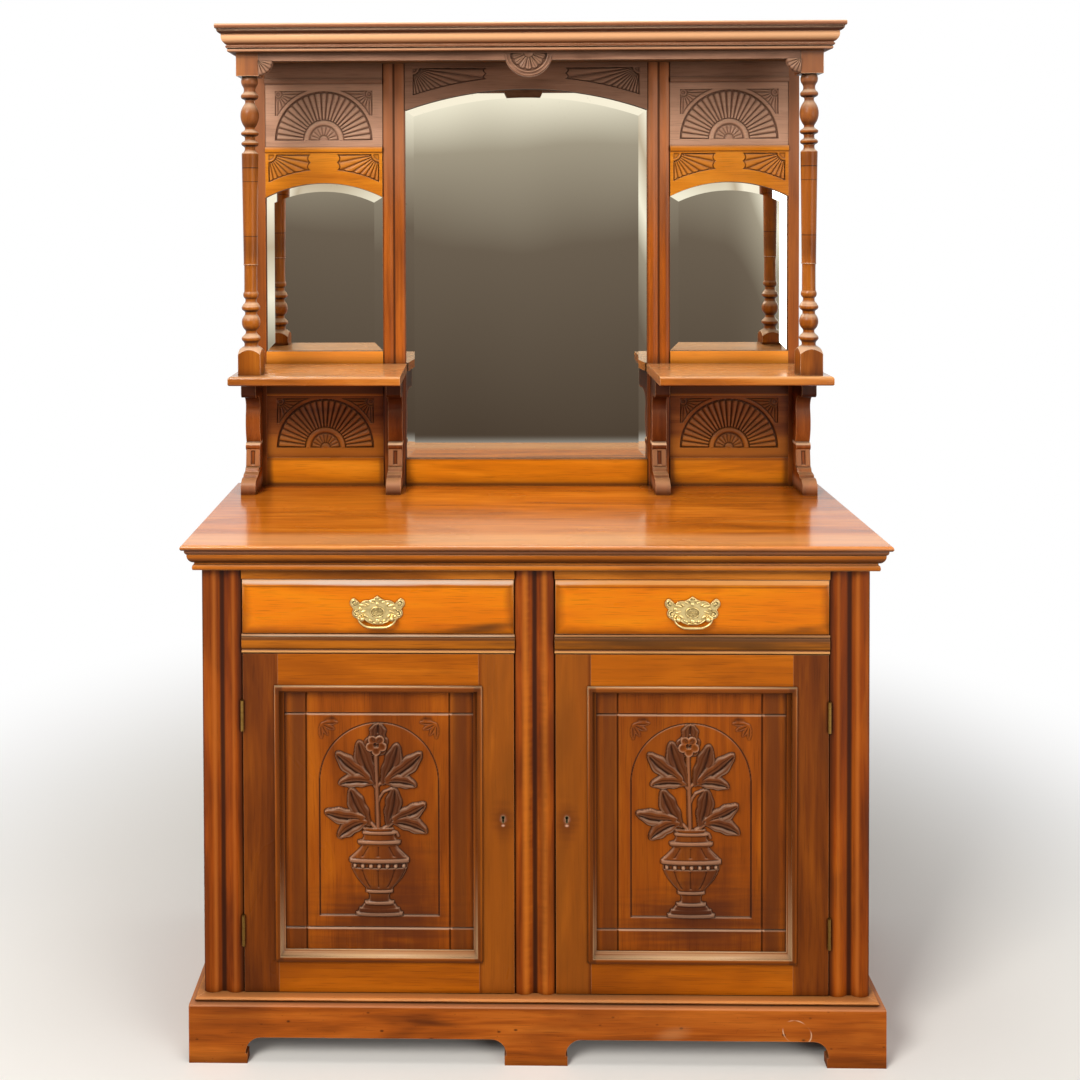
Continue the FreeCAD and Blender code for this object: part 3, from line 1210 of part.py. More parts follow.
def make_cornice():
    """Cornice board on the columns, its mitred moulding, and the apron under its front."""
    node("cornice_board", board(
        "cornice_board_solid", ("-cornice_half + cornice_mould", "cornice_half - cornice_mould"),
        ("cornice_front + cornice_mould", "slab_back"), ("gallery_top", "gallery_top + cornice_board")))
    half, front, base = value("cornice_half"), value("cornice_front"), value("gallery_top")
    left, right = Vector(-half, front, base), Vector(half, front, base)
    back = Vector(-half, value("slab_back"), base)
    up, inward, side_in = Vector(0, 0, 1), Vector(0, 1, 0), Vector(1, 0, 0)
    reach = value("cornice_height") + 4
    front_run = mitred_run(cornice_section(), left, right, inward, up, reach)
    front_strip = fixed_shape("cornice_front_strip", front_run)
    side_strip = fixed_shape("cornice_side_strip", mitred_run(cornice_section(), left, back, side_in, up,
                                                              reach, mitre_end=False))
    node("cornice_moulding", [front_strip, side_strip, mirrored(side_strip)])
    node("cornice_apron", make_apron())


def make_apron():
    """Beaded fascia between the columns, with a round pendant and a bracket beside each column."""
    top, low = value("gallery_top"), value("gallery_top") - value("apron_height")
    end, size = value("column_inner"), value("apron_bracket")
    radius, drop = value("pendant_radius"), value("pendant_drop")
    centre = top - drop + radius
    chord = math.sqrt(radius ** 2 - (low - centre) ** 2)
    bend = size * 0.80
    fascia = upright("apron_fascia", outline((-end, top), [
        ((-end, low - size + 4),), ((-end + bend * 0.72, low - bend * 0.48), (-end + size, low)),
        ((-chord, low),), ((0, centre - radius), (chord, low)), ((end - size, low),),
        ((end - bend * 0.72, low - bend * 0.48), (end, low - size + 4)), ((end, top),)]),
        "apron_thick", "apron_face + apron_thick")
    rim = value("pendant_rim")
    inner = radius - rim
    sunk_top = top - 3
    sunk_chord = math.sqrt(inner ** 2 - (sunk_top - centre) ** 2)
    pocket = upright("pendant_sinking", outline((-sunk_chord, sunk_top), [
        ((0, centre - inner), (sunk_chord, sunk_top))]), "5", "apron_face + 4")
    return cut("apron_carved", fascia, [pocket])


# ---------------------------------------------------------------- the whole object

def make_moving_pieces():
    """Both doors and both drawers: the left ones, then their mirror images."""
    for name, members in make_left_door() + make_left_drawer():
        node(name + "_left", members)
        copies = [mirrored(member) for member in members]
        node(name + "_right", copies)


def faults():
    """Every object that failed to compute, and every node whose shape isn't sound."""
    found = [item.Name for item in doc.Objects
             if "Invalid" in item.State or "Error" in item.State]
    for piece in NODES:
        if piece.Shape.isNull() or not piece.Shape.isValid() or not piece.Shape.Solids:
            found.append(piece.Label)
    return found


def main():
    """Build every piece, check it and write one STEP file for each node."""
    make_plinth()
    make_carcass()
    make_pilasters()
    make_rails()
    make_slab()
    make_carcass_ironmongery()
    make_gallery_frame()
    make_gallery_panels()
    make_shelves()
    make_brackets()
    make_columns()
    make_cornice()
    make_moving_pieces()
    doc.recompute()
    bad = faults()
    if bad:
        raise RuntimeError("pieces that failed: " + ", ".join(bad))
    os.makedirs(PARTS_FOLDER, exist_ok=True)
    for piece in NODES:
        piece.Shape.exportStep(os.path.join(PARTS_FOLDER, piece.Label + ".step"))
        shape = piece.Shape
        print("%-24s solids %2d  volume %.0f mm3" % (piece.Label, len(shape.Solids), shape.Volume))
    print(len(NODES), "nodes")


main()
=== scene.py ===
"""The dressed chiffonier: finishes, carving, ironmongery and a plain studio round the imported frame.

Every length is in metres in the frame of the solids: x to the right, y towards the wall, z up. Fields of
carvings and fittings are in millimetres.
"""

from __future__ import annotations

import logging
import math
from dataclasses import dataclass, field
from enum import Enum
from typing import Callable, Optional, Sequence

import bmesh
import bpy
import numpy as np
from bmesh.types import BMEdge, BMesh, BMFace, BMVert
from bpy.types import ID, Material, NodeSocket, NodeTree, Object
from mathutils import Matrix, Vector

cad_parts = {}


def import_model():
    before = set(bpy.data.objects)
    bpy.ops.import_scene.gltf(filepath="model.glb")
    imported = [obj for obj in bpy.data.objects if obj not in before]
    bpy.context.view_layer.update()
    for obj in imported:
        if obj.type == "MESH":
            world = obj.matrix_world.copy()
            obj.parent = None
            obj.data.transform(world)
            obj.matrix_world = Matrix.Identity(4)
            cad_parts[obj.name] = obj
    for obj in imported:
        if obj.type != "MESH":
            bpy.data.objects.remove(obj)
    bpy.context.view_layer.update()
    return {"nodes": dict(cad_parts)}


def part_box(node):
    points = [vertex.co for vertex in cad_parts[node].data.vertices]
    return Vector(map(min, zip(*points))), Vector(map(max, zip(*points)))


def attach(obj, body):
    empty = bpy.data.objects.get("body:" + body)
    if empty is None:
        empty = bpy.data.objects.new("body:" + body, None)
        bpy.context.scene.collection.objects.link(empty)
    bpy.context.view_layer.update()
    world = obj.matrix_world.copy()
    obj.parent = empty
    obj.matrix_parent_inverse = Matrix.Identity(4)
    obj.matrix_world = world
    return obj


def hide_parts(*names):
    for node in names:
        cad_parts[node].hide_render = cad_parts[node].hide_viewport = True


log = logging.getLogger("chiffonier")

MM = 0.001
BOTH = (-1.0, 1.0)
SIDES = tuple(zip(("left", "right"), BOTH))
WHITE = (1.0, 1.0, 1.0, 1.0)
Colour = tuple[float, float, float, float]
Field = np.ndarray
Relief = tuple[Field, Field, Field]
Shape = Callable[[Field, Field], Relief]


class Grain(Enum):
    """The way in which the fibres of a board run."""

    ACROSS = "across"
    DEEP = "deep"
    UPRIGHT = "upright"


def tint(red: int, green: int, blue: int) -> Colour:
    """A display colour, in steps of 255, as the linear colour of a shader.

    Args:
        red, green, blue: the three parts, from 0 to 255.

    Returns:
        The linear colour with full alpha.
    """
    linear = [(part / 255.0 / 12.92) if part <= 10 else ((part / 255.0 + 0.055) / 1.055) ** 2.4
              for part in (red, green, blue)]
    return (linear[0], linear[1], linear[2], 1.0)


# ---------------------------------------------------------------- finishes

class Tree:
    """A node tree, with short calls that add and link its nodes."""

    def __init__(self, tree: NodeTree) -> None:
        """Takes over a tree and empties it."""
        self.tree = tree
        tree.nodes.clear()

    def put(self, socket: NodeSocket, value: object) -> None:
        """Links a socket, or sets its plain value."""
        if isinstance(value, NodeSocket):
            self.tree.links.new(value, socket)
        else:
            socket.default_value = value

    def add(self, kind: str, inputs: dict[object, object], output: object = 0, **settings: object) -> NodeSocket:
        """Adds a node to the tree.

        Args:
            kind: the node's type, without the word ShaderNode in front.
            inputs: a link or a plain value for each input, by name or number.
            output: the wanted output's name or number.
            settings: the node's own settings.

        Returns:
            The wanted output.
        """
        node = self.tree.nodes.new("ShaderNode" + kind)
        for name, value in settings.items():
            setattr(node, name, value)
        for name, value in inputs.items():
            self.put(node.inputs[name], value)
        return node.outputs[output]

    def end(self, kind: str, surface: NodeSocket) -> NodeSocket:
        """Ends the tree in an output node, and returns that node's socket for the surface."""
        socket = self.tree.nodes.new("ShaderNode" + kind).inputs["Surface"]
        self.put(socket, surface)
        return socket

    def maths(self, operation: str, first: object, second: object = 0.0) -> NodeSocket:
        """One operation on two numbers."""
        return self.add("Math", {0: first, 1: second}, operation=operation)

    def times(self, first: object, second: object) -> NodeSocket:
        """The product of two numbers."""
        return self.maths("MULTIPLY", first, second)

    def plus(self, first: object, second: object) -> NodeSocket:
        """The sum of two numbers."""
        return self.maths("ADD", first, second)


class Graph(Tree):
    """The node tree of one finish, round a Principled shader."""

    def __init__(self, name: str) -> None:
        """Starts a material whose shader is wired to its output."""
        self.material = bpy.data.materials.new(name)
        self.material.use_nodes = True
        super().__init__(self.material.node_tree)
        self.shader = self.tree.nodes.new("ShaderNodeBsdfPrincipled")
        self.surface = self.end("OutputMaterial", self.shader.outputs[0])
        place = self.tree.nodes.new("ShaderNodeTexCoord")
        self.place, self.facing = place.outputs["Object"], place.outputs["Normal"]

    def stretched(self, scale: Sequence[float], turn: Sequence[float] = (0.0, 0.0, 0.0),
                  source: Optional[NodeSocket] = None) -> NodeSocket:
        """Object coordinates scaled by three factors, and turned after that."""
        return self.add("Mapping", {"Scale": scale, "Rotation": turn, "Vector": source or self.place})

    def noise(self, scale: Sequence[float], detail: float, distortion: float = 0.0,
              source: Optional[NodeSocket] = None) -> NodeSocket:
        """Soft noise from 0 to 1."""
        return self.add("TexNoise", {"Vector": self.stretched(scale, source=source), "Scale": 1.0,
                                     "Detail": detail, "Distortion": distortion})

    def specks(self, scale: Sequence[float]) -> NodeSocket:
        """The distance to the nearest of many scattered points."""
        return self.add("TexVoronoi", {"Vector": self.stretched(scale), "Scale": 1.0}, "Distance")

    def band(self, value: object, low: float, high: float, start: float = 0.0, end: float = 1.0) -> NodeSocket:
        """A smooth rise from start to end as the value goes from low to high."""
        return self.add("MapRange", {"Value": value, "From Min": low, "From Max": high, "To Min": start,
                                     "To Max": end}, interpolation_type="SMOOTHSTEP")

    def ramp(self, value: object, stops: Sequence[tuple[float, Colour]]) -> NodeSocket:
        """A run of colours along a number."""
        node = self.tree.nodes.new("ShaderNodeValToRGB")
        self.put(node.inputs[0], value)
        elements = node.color_ramp.elements
        for index, (position, colour) in enumerate(stops):
            element = elements[index] if index < len(elements) else elements.new(position)
            element.position, element.color = position, colour
        return node.outputs[0]

    def blend(self, share: object, first: object, second: object, mode: str = "MIX") -> NodeSocket:
        """Two colours mixed by a share."""
        return self.add("Mix", {0: share, 6: first, 7: second}, 2, data_type="RGBA", blend_type=mode,
                        clamp_factor=True)

    def either(self, share: object, first: object, second: object) -> NodeSocket:
        """One of two vectors, by a share of 0 or 1."""
        return self.add("Mix", {0: share, 4: first, 5: second}, 1, data_type="VECTOR")

    def hollow(self, reach: float) -> NodeSocket:
        """How open a point is, from 0 deep in a crevice to 1 on an open face."""
        return self.add("AmbientOcclusion", {"Distance": reach}, "AO", samples=8)

    def arris(self, radius: float) -> NodeSocket:
        """A number near 0 on a flat face, and higher along its edges."""
        flat = self.add("VectorMath", {0: self.add("Bevel", {"Radius": radius}, samples=4),
                                       1: self.add("NewGeometry", {}, "Normal")}, "Value", operation="DOT_PRODUCT")
        return self.maths("SUBTRACT", 1.0, flat)

    def part(self, axis: str, source: Optional[NodeSocket] = None) -> NodeSocket:
        """One of the three parts of a vector."""
        return self.add("SeparateXYZ", {0: source or self.place}, axis)

    def away(self, axis: str, centre: float) -> NodeSocket:
        """The distance from a level in metres; across, left and right count alike."""
        value = self.part(axis)
        if axis == "X":
            value = self.maths("ABSOLUTE", value)
        return self.maths("ABSOLUTE", self.maths("SUBTRACT", value, centre))

    def layer(self, name: str) -> NodeSocket:
        """A number painted on the mesh's points, and 0 where there is none."""
        return self.add("Attribute", {}, "Fac", attribute_name=name)

    def bump(self, height: object, strength: float, depth: float) -> None:
        """Gives the shader's normal a fine relief."""
        relief = self.add("Bump", {"Strength": strength, "Distance": depth, "Height": height})
        self.put(self.shader.inputs["Normal"], relief)

    def colour(self, value: object) -> None:
        """Sets the shader's base colour."""
        self.put(self.shader.inputs["Base Color"], value)

    def sheen(self, roughness: object, metal: float = 0.0, coat: float = 0.0,
              coat_roughness: float = 0.1, specular: float = 0.5) -> None:
        """Sets how the surface shines."""
        for name, value in (("Roughness", roughness), ("Metallic", metal), ("Coat Weight", coat),
                            ("Coat Roughness", coat_roughness), ("Specular IOR Level", specular)):
            self.put(self.shader.inputs[name], value)


@dataclass(frozen=True)
class Rubbing:
    """A face that hands and dusters keep bright in the middle, with old polish left round its rim."""

    middle: float
    half_width: float
    level: float
    half_height: float
    margin: float
    shade: Colour
    strength: float = 0.7
    clear: float = 0.010

    def lay(self, graph: Graph, colour: NodeSocket) -> NodeSocket:
        """Darkens the rim of a face and leaves its middle bright."""
        wobble = graph.times(graph.noise((16.0, 16.0, 16.0), 3.0), 0.02)
        gaps = [graph.maths("SUBTRACT", half, graph.away(axis, centre))
                for axis, centre, half in (("X", self.middle, self.half_width), ("Z", self.level, self.half_height))]
        gap = graph.plus(graph.maths("MINIMUM", *gaps), wobble)
        return graph.blend(graph.band(gap, self.clear, self.clear + self.margin, self.strength, 0.0),
                           colour, self.shade)


@dataclass(frozen=True)
class Strip:
    """A soft-edged band at one level or one distance from the middle, such as a groove's old polish, a painted
    highlight or a painted shade along a profile.
    """

    axis: str
    centre: float
    half: float
    soft: float
    shade: Colour
    strength: float = 0.7

    def lay(self, graph: Graph, colour: NodeSocket) -> NodeSocket:
        """Tints the band."""
        share = graph.band(graph.away(self.axis, self.centre * MM), max(self.half - self.soft, 0.0) * MM,
                           (self.half + self.soft) * MM, self.strength, 0.0)
        return graph.blend(share, colour, self.shade)


@dataclass(frozen=True)
class Mark:
    """A stain, a scratch, a painted highlight or a painted shade on a front: a soft oval, or only the line round it.
    """

    centre: tuple[float, float]
    halves: tuple[float, float]
    tilt: float
    shade: Colour
    strength: float = 0.6
    line: float = 0.0

    def lay(self, graph: Graph, colour: NodeSocket) -> NodeSocket:
        """Tints the oval or its line."""
        (x, z), (wide, tall) = self.centre, self.halves
        oval = graph.add("Mapping", {"Location": (x * MM, 0.0, z * MM), "Rotation": (0.0, self.tilt, 0.0),
                                     "Scale": (wide * MM, 1000.0, tall * MM), "Vector": graph.place},
                         vector_type="TEXTURE")
        reach = graph.add("VectorMath", {0: oval}, "Value", operation="LENGTH")
        if not self.line:
            ragged = graph.plus(reach, graph.times(graph.noise((9.0, 9.0, 110.0), 3.0), 1.1))
            return graph.blend(graph.band(ragged, 0.65, 1.75, self.strength, 0.0), colour, self.shade)
        off = graph.maths("ABSOLUTE", graph.maths("SUBTRACT", reach, 1.0))
        broken = graph.band(graph.noise((22.0, 22.0, 22.0), 2.0), 0.42, 0.52)
        share = graph.times(graph.band(off, self.line * 0.4, self.line, self.strength, 0.0), broken)
        return graph.blend(share, colour, self.shade)


@dataclass(frozen=True)
class Mitre:
    """A frame of moulding whose grain turns the corner at each mitre."""

    middle: float
    half_width: float
    level: float
    half_height: float

    def turned(self, graph: Graph, source: NodeSocket) -> NodeSocket:
        """The coordinates with across and up swapped on the upright members."""
        side = graph.maths("SUBTRACT", self.half_width * MM, graph.away("X", self.middle * MM))
        top = graph.maths("SUBTRACT", self.half_height * MM, graph.away("Z", self.level * MM))
        swapped = graph.stretched((1.0, 1.0, 1.0), (0.0, math.pi / 2, 0.0), source)
        return graph.either(graph.maths("LESS_THAN", side, top), source, swapped)


@dataclass(frozen=True)
class Smoke:
    """The grey-brown bloom that smoke and dust give to the upper part of a gallery."""

    start: float = 1.42
    full: float = 1.70
    tone: Colour = tint(146, 104, 82)
    strength: float = 0.75
    drift: float = 0.22

    def lay(self, graph: Graph, colour: NodeSocket) -> NodeSocket:
        """Lays the bloom over a colour, denser higher up."""
        level = graph.plus(graph.part("Z"), graph.times(graph.noise((5.0, 5.0, 5.0), 3.0), self.drift))
        share = graph.band(level, self.start + self.drift / 2, self.full + self.drift / 2, 0.0, self.strength)
        return graph.blend(share, colour, graph.blend(0.25, self.tone, colour, "MULTIPLY"))


PORE, DENT, NICK = tint(52, 24, 8), tint(58, 26, 12), tint(44, 22, 12)
# Painted shade for downward faces, and the dark of grime and painted shade in crevices and hollows.
UNDERSIDE_SHADE, DARK_GRIME_AND_SHADE = tint(50, 22, 9), tint(30, 12, 4)
CREVICE_REACH, EDGE_RADIUS = 0.028, 0.0016


@dataclass(frozen=True)
class Wood:
    """A polished wood with its figure, pores, grime and worn edges, painted highlights on upward faces and carved
    crests, and painted shade on downward faces and in hollows.
    """

    name: str
    dark: Colour
    middle: Colour
    light: Colour
    figure: float = 1.0
    gloss: float = 0.32
    coat: float = 0.03
    specular: float = 0.12
    blotch: float = 0.35
    grime_and_shade: float = 0.9
    wear: float = 0.35
    ledge: float = 0.45
    shade: float = 0.45
    dents: float = 0.0
    returns: bool = False
    mitre: Optional[Mitre] = None
    smoke: Optional[Smoke] = None
    details: tuple[object, ...] = ()
    carved: Colour = tint(96, 56, 34)
    wear_and_highlight: Colour = tint(206, 150, 108)
    crest: float = 0.55
    cut: float = 0.82

    def source(self, graph: Graph) -> NodeSocket:
        """The coordinates that the grain follows, turned on returned ends and on mitred uprights."""
        source = graph.place
        if self.returns:
            sideways = graph.maths("GREATER_THAN", graph.maths("ABSOLUTE", graph.part("X", graph.facing)), 0.7)
            turned = graph.stretched((1.0, 1.0, 1.0), (0.0, 0.0, math.pi / 2), source)
            source = graph.either(sideways, source, turned)
        return self.mitre.turned(graph, source) if self.mitre else source

    def dented(self, graph: Graph, colour: NodeSocket) -> NodeSocket:
        """Scatters dark dents and smaller nicks."""
        marks = graph.band(graph.specks((26.0, 26.0, 44.0)), 0.04, 0.13, self.dents, 0.0)
        colour = graph.blend(marks, colour, DENT)
        nicks = graph.band(graph.specks((70.0, 70.0, 90.0)), 0.03, 0.10, self.dents, 0.0)
        return graph.blend(graph.times(nicks, 0.6), colour, NICK)

    def aged(self, graph: Graph, colour: NodeSocket) -> NodeSocket:
        """Lays painted highlight, partly dust, on upward faces, painted shade on downward faces, grime and painted
        shade in crevices and hollows, and pale wear along edges and on carved crests, the crests partly painted
        highlight.
        """
        up = graph.part("Z", graph.facing)
        # Upward faces paler: painted highlight, partly dust.
        colour = graph.blend(graph.band(up, 0.10, 0.75, 0.0, self.ledge), colour, self.wear_and_highlight)
        # Downward faces darker: painted shade.
        colour = graph.blend(graph.band(up, -0.85, -0.15, self.shade, 0.0), colour, UNDERSIDE_SHADE)
        # Darker in crevices by occlusion and in carved hollows: grime and painted shade.
        openness = graph.hollow(CREVICE_REACH)
        near = graph.maths("MAXIMUM", graph.band(openness, 0.50, 0.99, self.grime_and_shade * 0.55, 0.0),
                           graph.times(graph.layer("hollow"), self.cut))
        grime_and_shade_share = graph.maths("MAXIMUM", graph.band(openness, 0.22, 0.66, self.grime_and_shade, 0.0), near)
        colour = graph.blend(grime_and_shade_share, colour, DARK_GRIME_AND_SHADE)
        edge = graph.times(graph.band(graph.arris(EDGE_RADIUS), 0.015, 0.12, 0.0, self.wear),
                           graph.band(openness, 0.55, 0.90))
        # Pale worn edges, and pale carved crests that are partly wear and partly painted highlight.
        rubbed_and_lit = graph.maths("MAXIMUM", edge, graph.times(graph.layer("crest"), self.crest))
        return graph.blend(rubbed_and_lit, colour, self.wear_and_highlight)

    def make(self, grain: Grain) -> Material:
        """Builds the material for boards of one grain.

        Args:
            grain: the way in which the fibres run.

        Returns:
            The finished material.
        """
        graph = Graph(f"{self.name}_{grain.value}")
        source = self.source(graph)

        def drawn(along: float, across: float, detail: float, distortion: float = 0.0) -> NodeSocket:
            """Noise that is drawn out along the grain."""
            scale = tuple(along if grain is way else across for way in Grain)
            return graph.noise(scale, detail, distortion, source)

        broad, streak, fibre = drawn(1.6, 11.0, 3.0, 1.8), drawn(4.0, 70.0, 3.0, 0.6), drawn(18.0, 640.0, 2.0)
        patch, spread = drawn(3.0, 8.0, 3.0, 0.8), 0.19 / self.figure
        tone = graph.plus(graph.times(broad, 0.60), graph.times(streak, 0.40))
        colour = graph.ramp(tone, ((0.5 - spread, self.dark), (0.5, self.middle), (0.5 + spread, self.light)))
        colour = graph.blend(graph.band(patch, 0.44, 0.72, 0.0, self.blotch), colour, self.dark)
        colour = graph.blend(graph.band(fibre, 0.30, 0.46, 0.26, 0.0), colour, PORE, "MULTIPLY")
        if self.dents:
            colour = self.dented(graph, colour)
        for layer in (self.smoke, *self.details) if self.smoke else self.details:
            colour = layer.lay(graph, colour)
        carved = graph.blend(0.25, self.carved, colour)
        if self.smoke:
            carved = graph.blend(0.45, carved, colour)
        colour = self.aged(graph, graph.blend(graph.layer("stain"), colour, carved))
        graph.colour(colour)
        graph.sheen(graph.band(patch, 0.3, 0.7, self.gloss - 0.05, self.gloss + 0.09), coat=self.coat,
                    coat_roughness=0.12, specular=self.specular)
        graph.bump(graph.plus(fibre, graph.times(streak, 0.6)), 0.2, 0.0004)
        return graph.material


@dataclass(frozen=True)
class Brass:
    """Cast or rolled brass, bright where it is touched and olive in its hollows."""

    name: str
    bright: Colour = tint(236, 212, 150)
    dull: Colour = tint(104, 78, 30)
    roughness: float = 0.34
    cast: float = 0.22

    def make(self) -> Material:
        """Builds the material."""
        graph = Graph(self.name)
        cloud = graph.noise((90.0, 90.0, 90.0), 4.0)
        colour = graph.blend(graph.band(cloud, 0.45, 0.75, 0.0, 0.35), self.bright, self.dull)
        graph.colour(graph.blend(graph.band(graph.hollow(0.003), 0.30, 0.85, 0.95, 0.0), colour, self.dull))
        graph.sheen(graph.band(cloud, 0.3, 0.7, self.roughness - 0.06, self.roughness + 0.12), metal=1.0)
        graph.bump(graph.noise((900.0, 900.0, 900.0), 3.0), self.cast, 0.0003)
        return graph.material


@dataclass(frozen=True)
class Steel:
    """Plain bright steel with fine draw lines."""

    name: str

    def make(self) -> Material:
        """Builds the material."""
        graph = Graph(self.name)
        lines = graph.noise((60.0, 900.0, 900.0), 2.0)
        graph.colour(graph.blend(lines, tint(150, 150, 148), tint(92, 90, 86)))
        graph.sheen(graph.band(lines, 0.3, 0.7, 0.28, 0.45), metal=1.0)
        graph.bump(lines, 0.1, 0.0002)
        return graph.material


@dataclass(frozen=True)
class Silvering:
    """Old silvered plate glass, a little grey, with faint specks near its rim."""

    name: str

    def make(self) -> Material:
        """Builds the material."""
        graph = Graph(self.name)
        fox = graph.band(graph.specks((90.0, 90.0, 90.0)), 0.05, 0.22, 1.0, 0.0)
        patch = graph.band(graph.noise((9.0, 9.0, 9.0), 3.0), 0.50, 0.66)
        rim = graph.band(graph.hollow(0.024), 0.45, 0.97, 0.8, 0.05)
        share = graph.times(fox, graph.times(patch, rim))
        graph.colour(graph.blend(share, tint(222, 224, 218), tint(112, 98, 72)))
        graph.sheen(graph.band(share, 0.0, 1.0, 0.012, 0.30), metal=1.0, coat=0.4, coat_roughness=0.01)
        return graph.material


# ---------------------------------------------------------------- making pieces

def smooth_step(low: float, high: float, value: Field) -> Field:
    """A smooth rise from 0 to 1 as value goes from low to high."""
    share = np.clip((value - low) / (high - low), 0.0, 1.0)
    return share * share * (3.0 - 2.0 * share)


def dome(offset: Field, half: object) -> Field:
    """A half-round section: 1 in the middle, and 0 at half and beyond."""
    return np.sqrt(np.clip(1.0 - (offset / half) ** 2, 0.0, 1.0))


def spaced(*stretches: tuple[float, float, float]) -> list[float]:
    """Rising positions over neighbouring stretches, each (start, end, step)."""
    places: list[float] = []
    for start, end, step in stretches:
        count = max(1, round((end - start) / step))
        places += [start + (end - start) * index / count for index in range(count)]
    return places + [stretches[-1][1]]


def softened(values: Field, reach: int) -> Field:
    """A field averaged over its neighbours on every side."""
    padded = np.pad(values, reach, mode="edge")
    wide, tall = values.shape
    steps = range(2 * reach + 1)
    total = sum(padded[i:i + wide, j:j + tall] for i in steps for j in steps)
    return total / len(steps) ** 2


def metres(values: Sequence[float], middle: float = 0.0) -> list[float]:
    """Places in millimetres round a middle, as places in metres."""
    return [(middle + value) * MM for value in values]


def placed(name: str, data: ID) -> Object:
    """A new object in the scene that shows the data."""
    item = bpy.data.objects.new(name, data)
    bpy.context.scene.collection.objects.link(item)
    return item


def settle(bm: BMesh, name: str, body: str, material: Material, crease: float) -> Object:
    """Turns a finished bmesh into a piece that rides on a body.

    Args:
        bm: the bmesh, in the row frame. It is freed.
        name: the piece's name.
        body: the body that carries it.
        material: its finish.
        crease: the angle in degrees past which an edge stays sharp.

    Returns:
        The new object.
    """
    bmesh.ops.remove_doubles(bm, verts=bm.verts[:], dist=1e-6)
    bmesh.ops.recalc_face_normals(bm, faces=bm.faces[:])
    mesh = bpy.data.meshes.new(name)
    bm.to_mesh(mesh)
    bm.free()
    mesh.polygons.foreach_set("use_smooth", [True] * len(mesh.polygons))
    mesh.set_sharp_from_angle(angle=math.radians(crease))
    mesh.materials.append(material)
    piece = placed(name, mesh)
    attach(piece, body)
    log.info("piece %s on %s: %d faces", name, body, len(mesh.polygons))
    return piece


def bar_along(bm: BMesh, points: Sequence[Sequence[float]], radius: float, closed: bool = False,
              swell: Optional[Sequence[float]] = None) -> None:
    """Adds a round bar that follows a run of points.

    Args:
        bm: the bmesh that gets the bar.
        points: the points in metres.
        radius: the bar's radius in metres.
        closed: whether the bar runs back to its start.
        swell: the share of the radius at each point.
    """
    curve = bpy.data.curves.new("bar", "CURVE")
    curve.dimensions, curve.bevel_depth, curve.bevel_resolution = "3D", radius, 2
    curve.use_fill_caps = not closed
    spline = curve.splines.new("POLY")
    spline.points.add(len(points) - 1)
    for index, (point, place) in enumerate(zip(spline.points, points)):
        point.co = (*place, 1.0)
        point.radius = swell[index] if swell else 1.0
    spline.use_cyclic_u = closed
    holder = bpy.data.objects.new("bar", curve)
    mesh = bpy.data.meshes.new_from_object(holder)
    bm.from_mesh(mesh)
    bpy.data.objects.remove(holder)
    bpy.data.meshes.remove(mesh)
    bpy.data.curves.remove(curve)


def pip(bm: BMesh, place: Sequence[float], halves: Sequence[float], tilt: float = 0.0, fine: int = 8) -> None:
    """Adds a small rounded lump.

    Args:
        bm: the bmesh that gets it.
        place: its middle, in millimetres.
        halves: its half sizes across, deep and up, in millimetres.
        tilt: its turn in the plane of the front, in radians.
        fine: how many faces it has round.
    """
    matrix = (Matrix.Translation(Vector(place) * MM) @ Matrix.Rotation(tilt, 4, "Y")
              @ Matrix.Diagonal((halves[0] * MM, halves[1] * MM, halves[2] * MM, 1.0)))
    bmesh.ops.create_uvsphere(bm, u_segments=fine, v_segments=max(fine // 2 + 1, 4), radius=1.0, matrix=matrix)


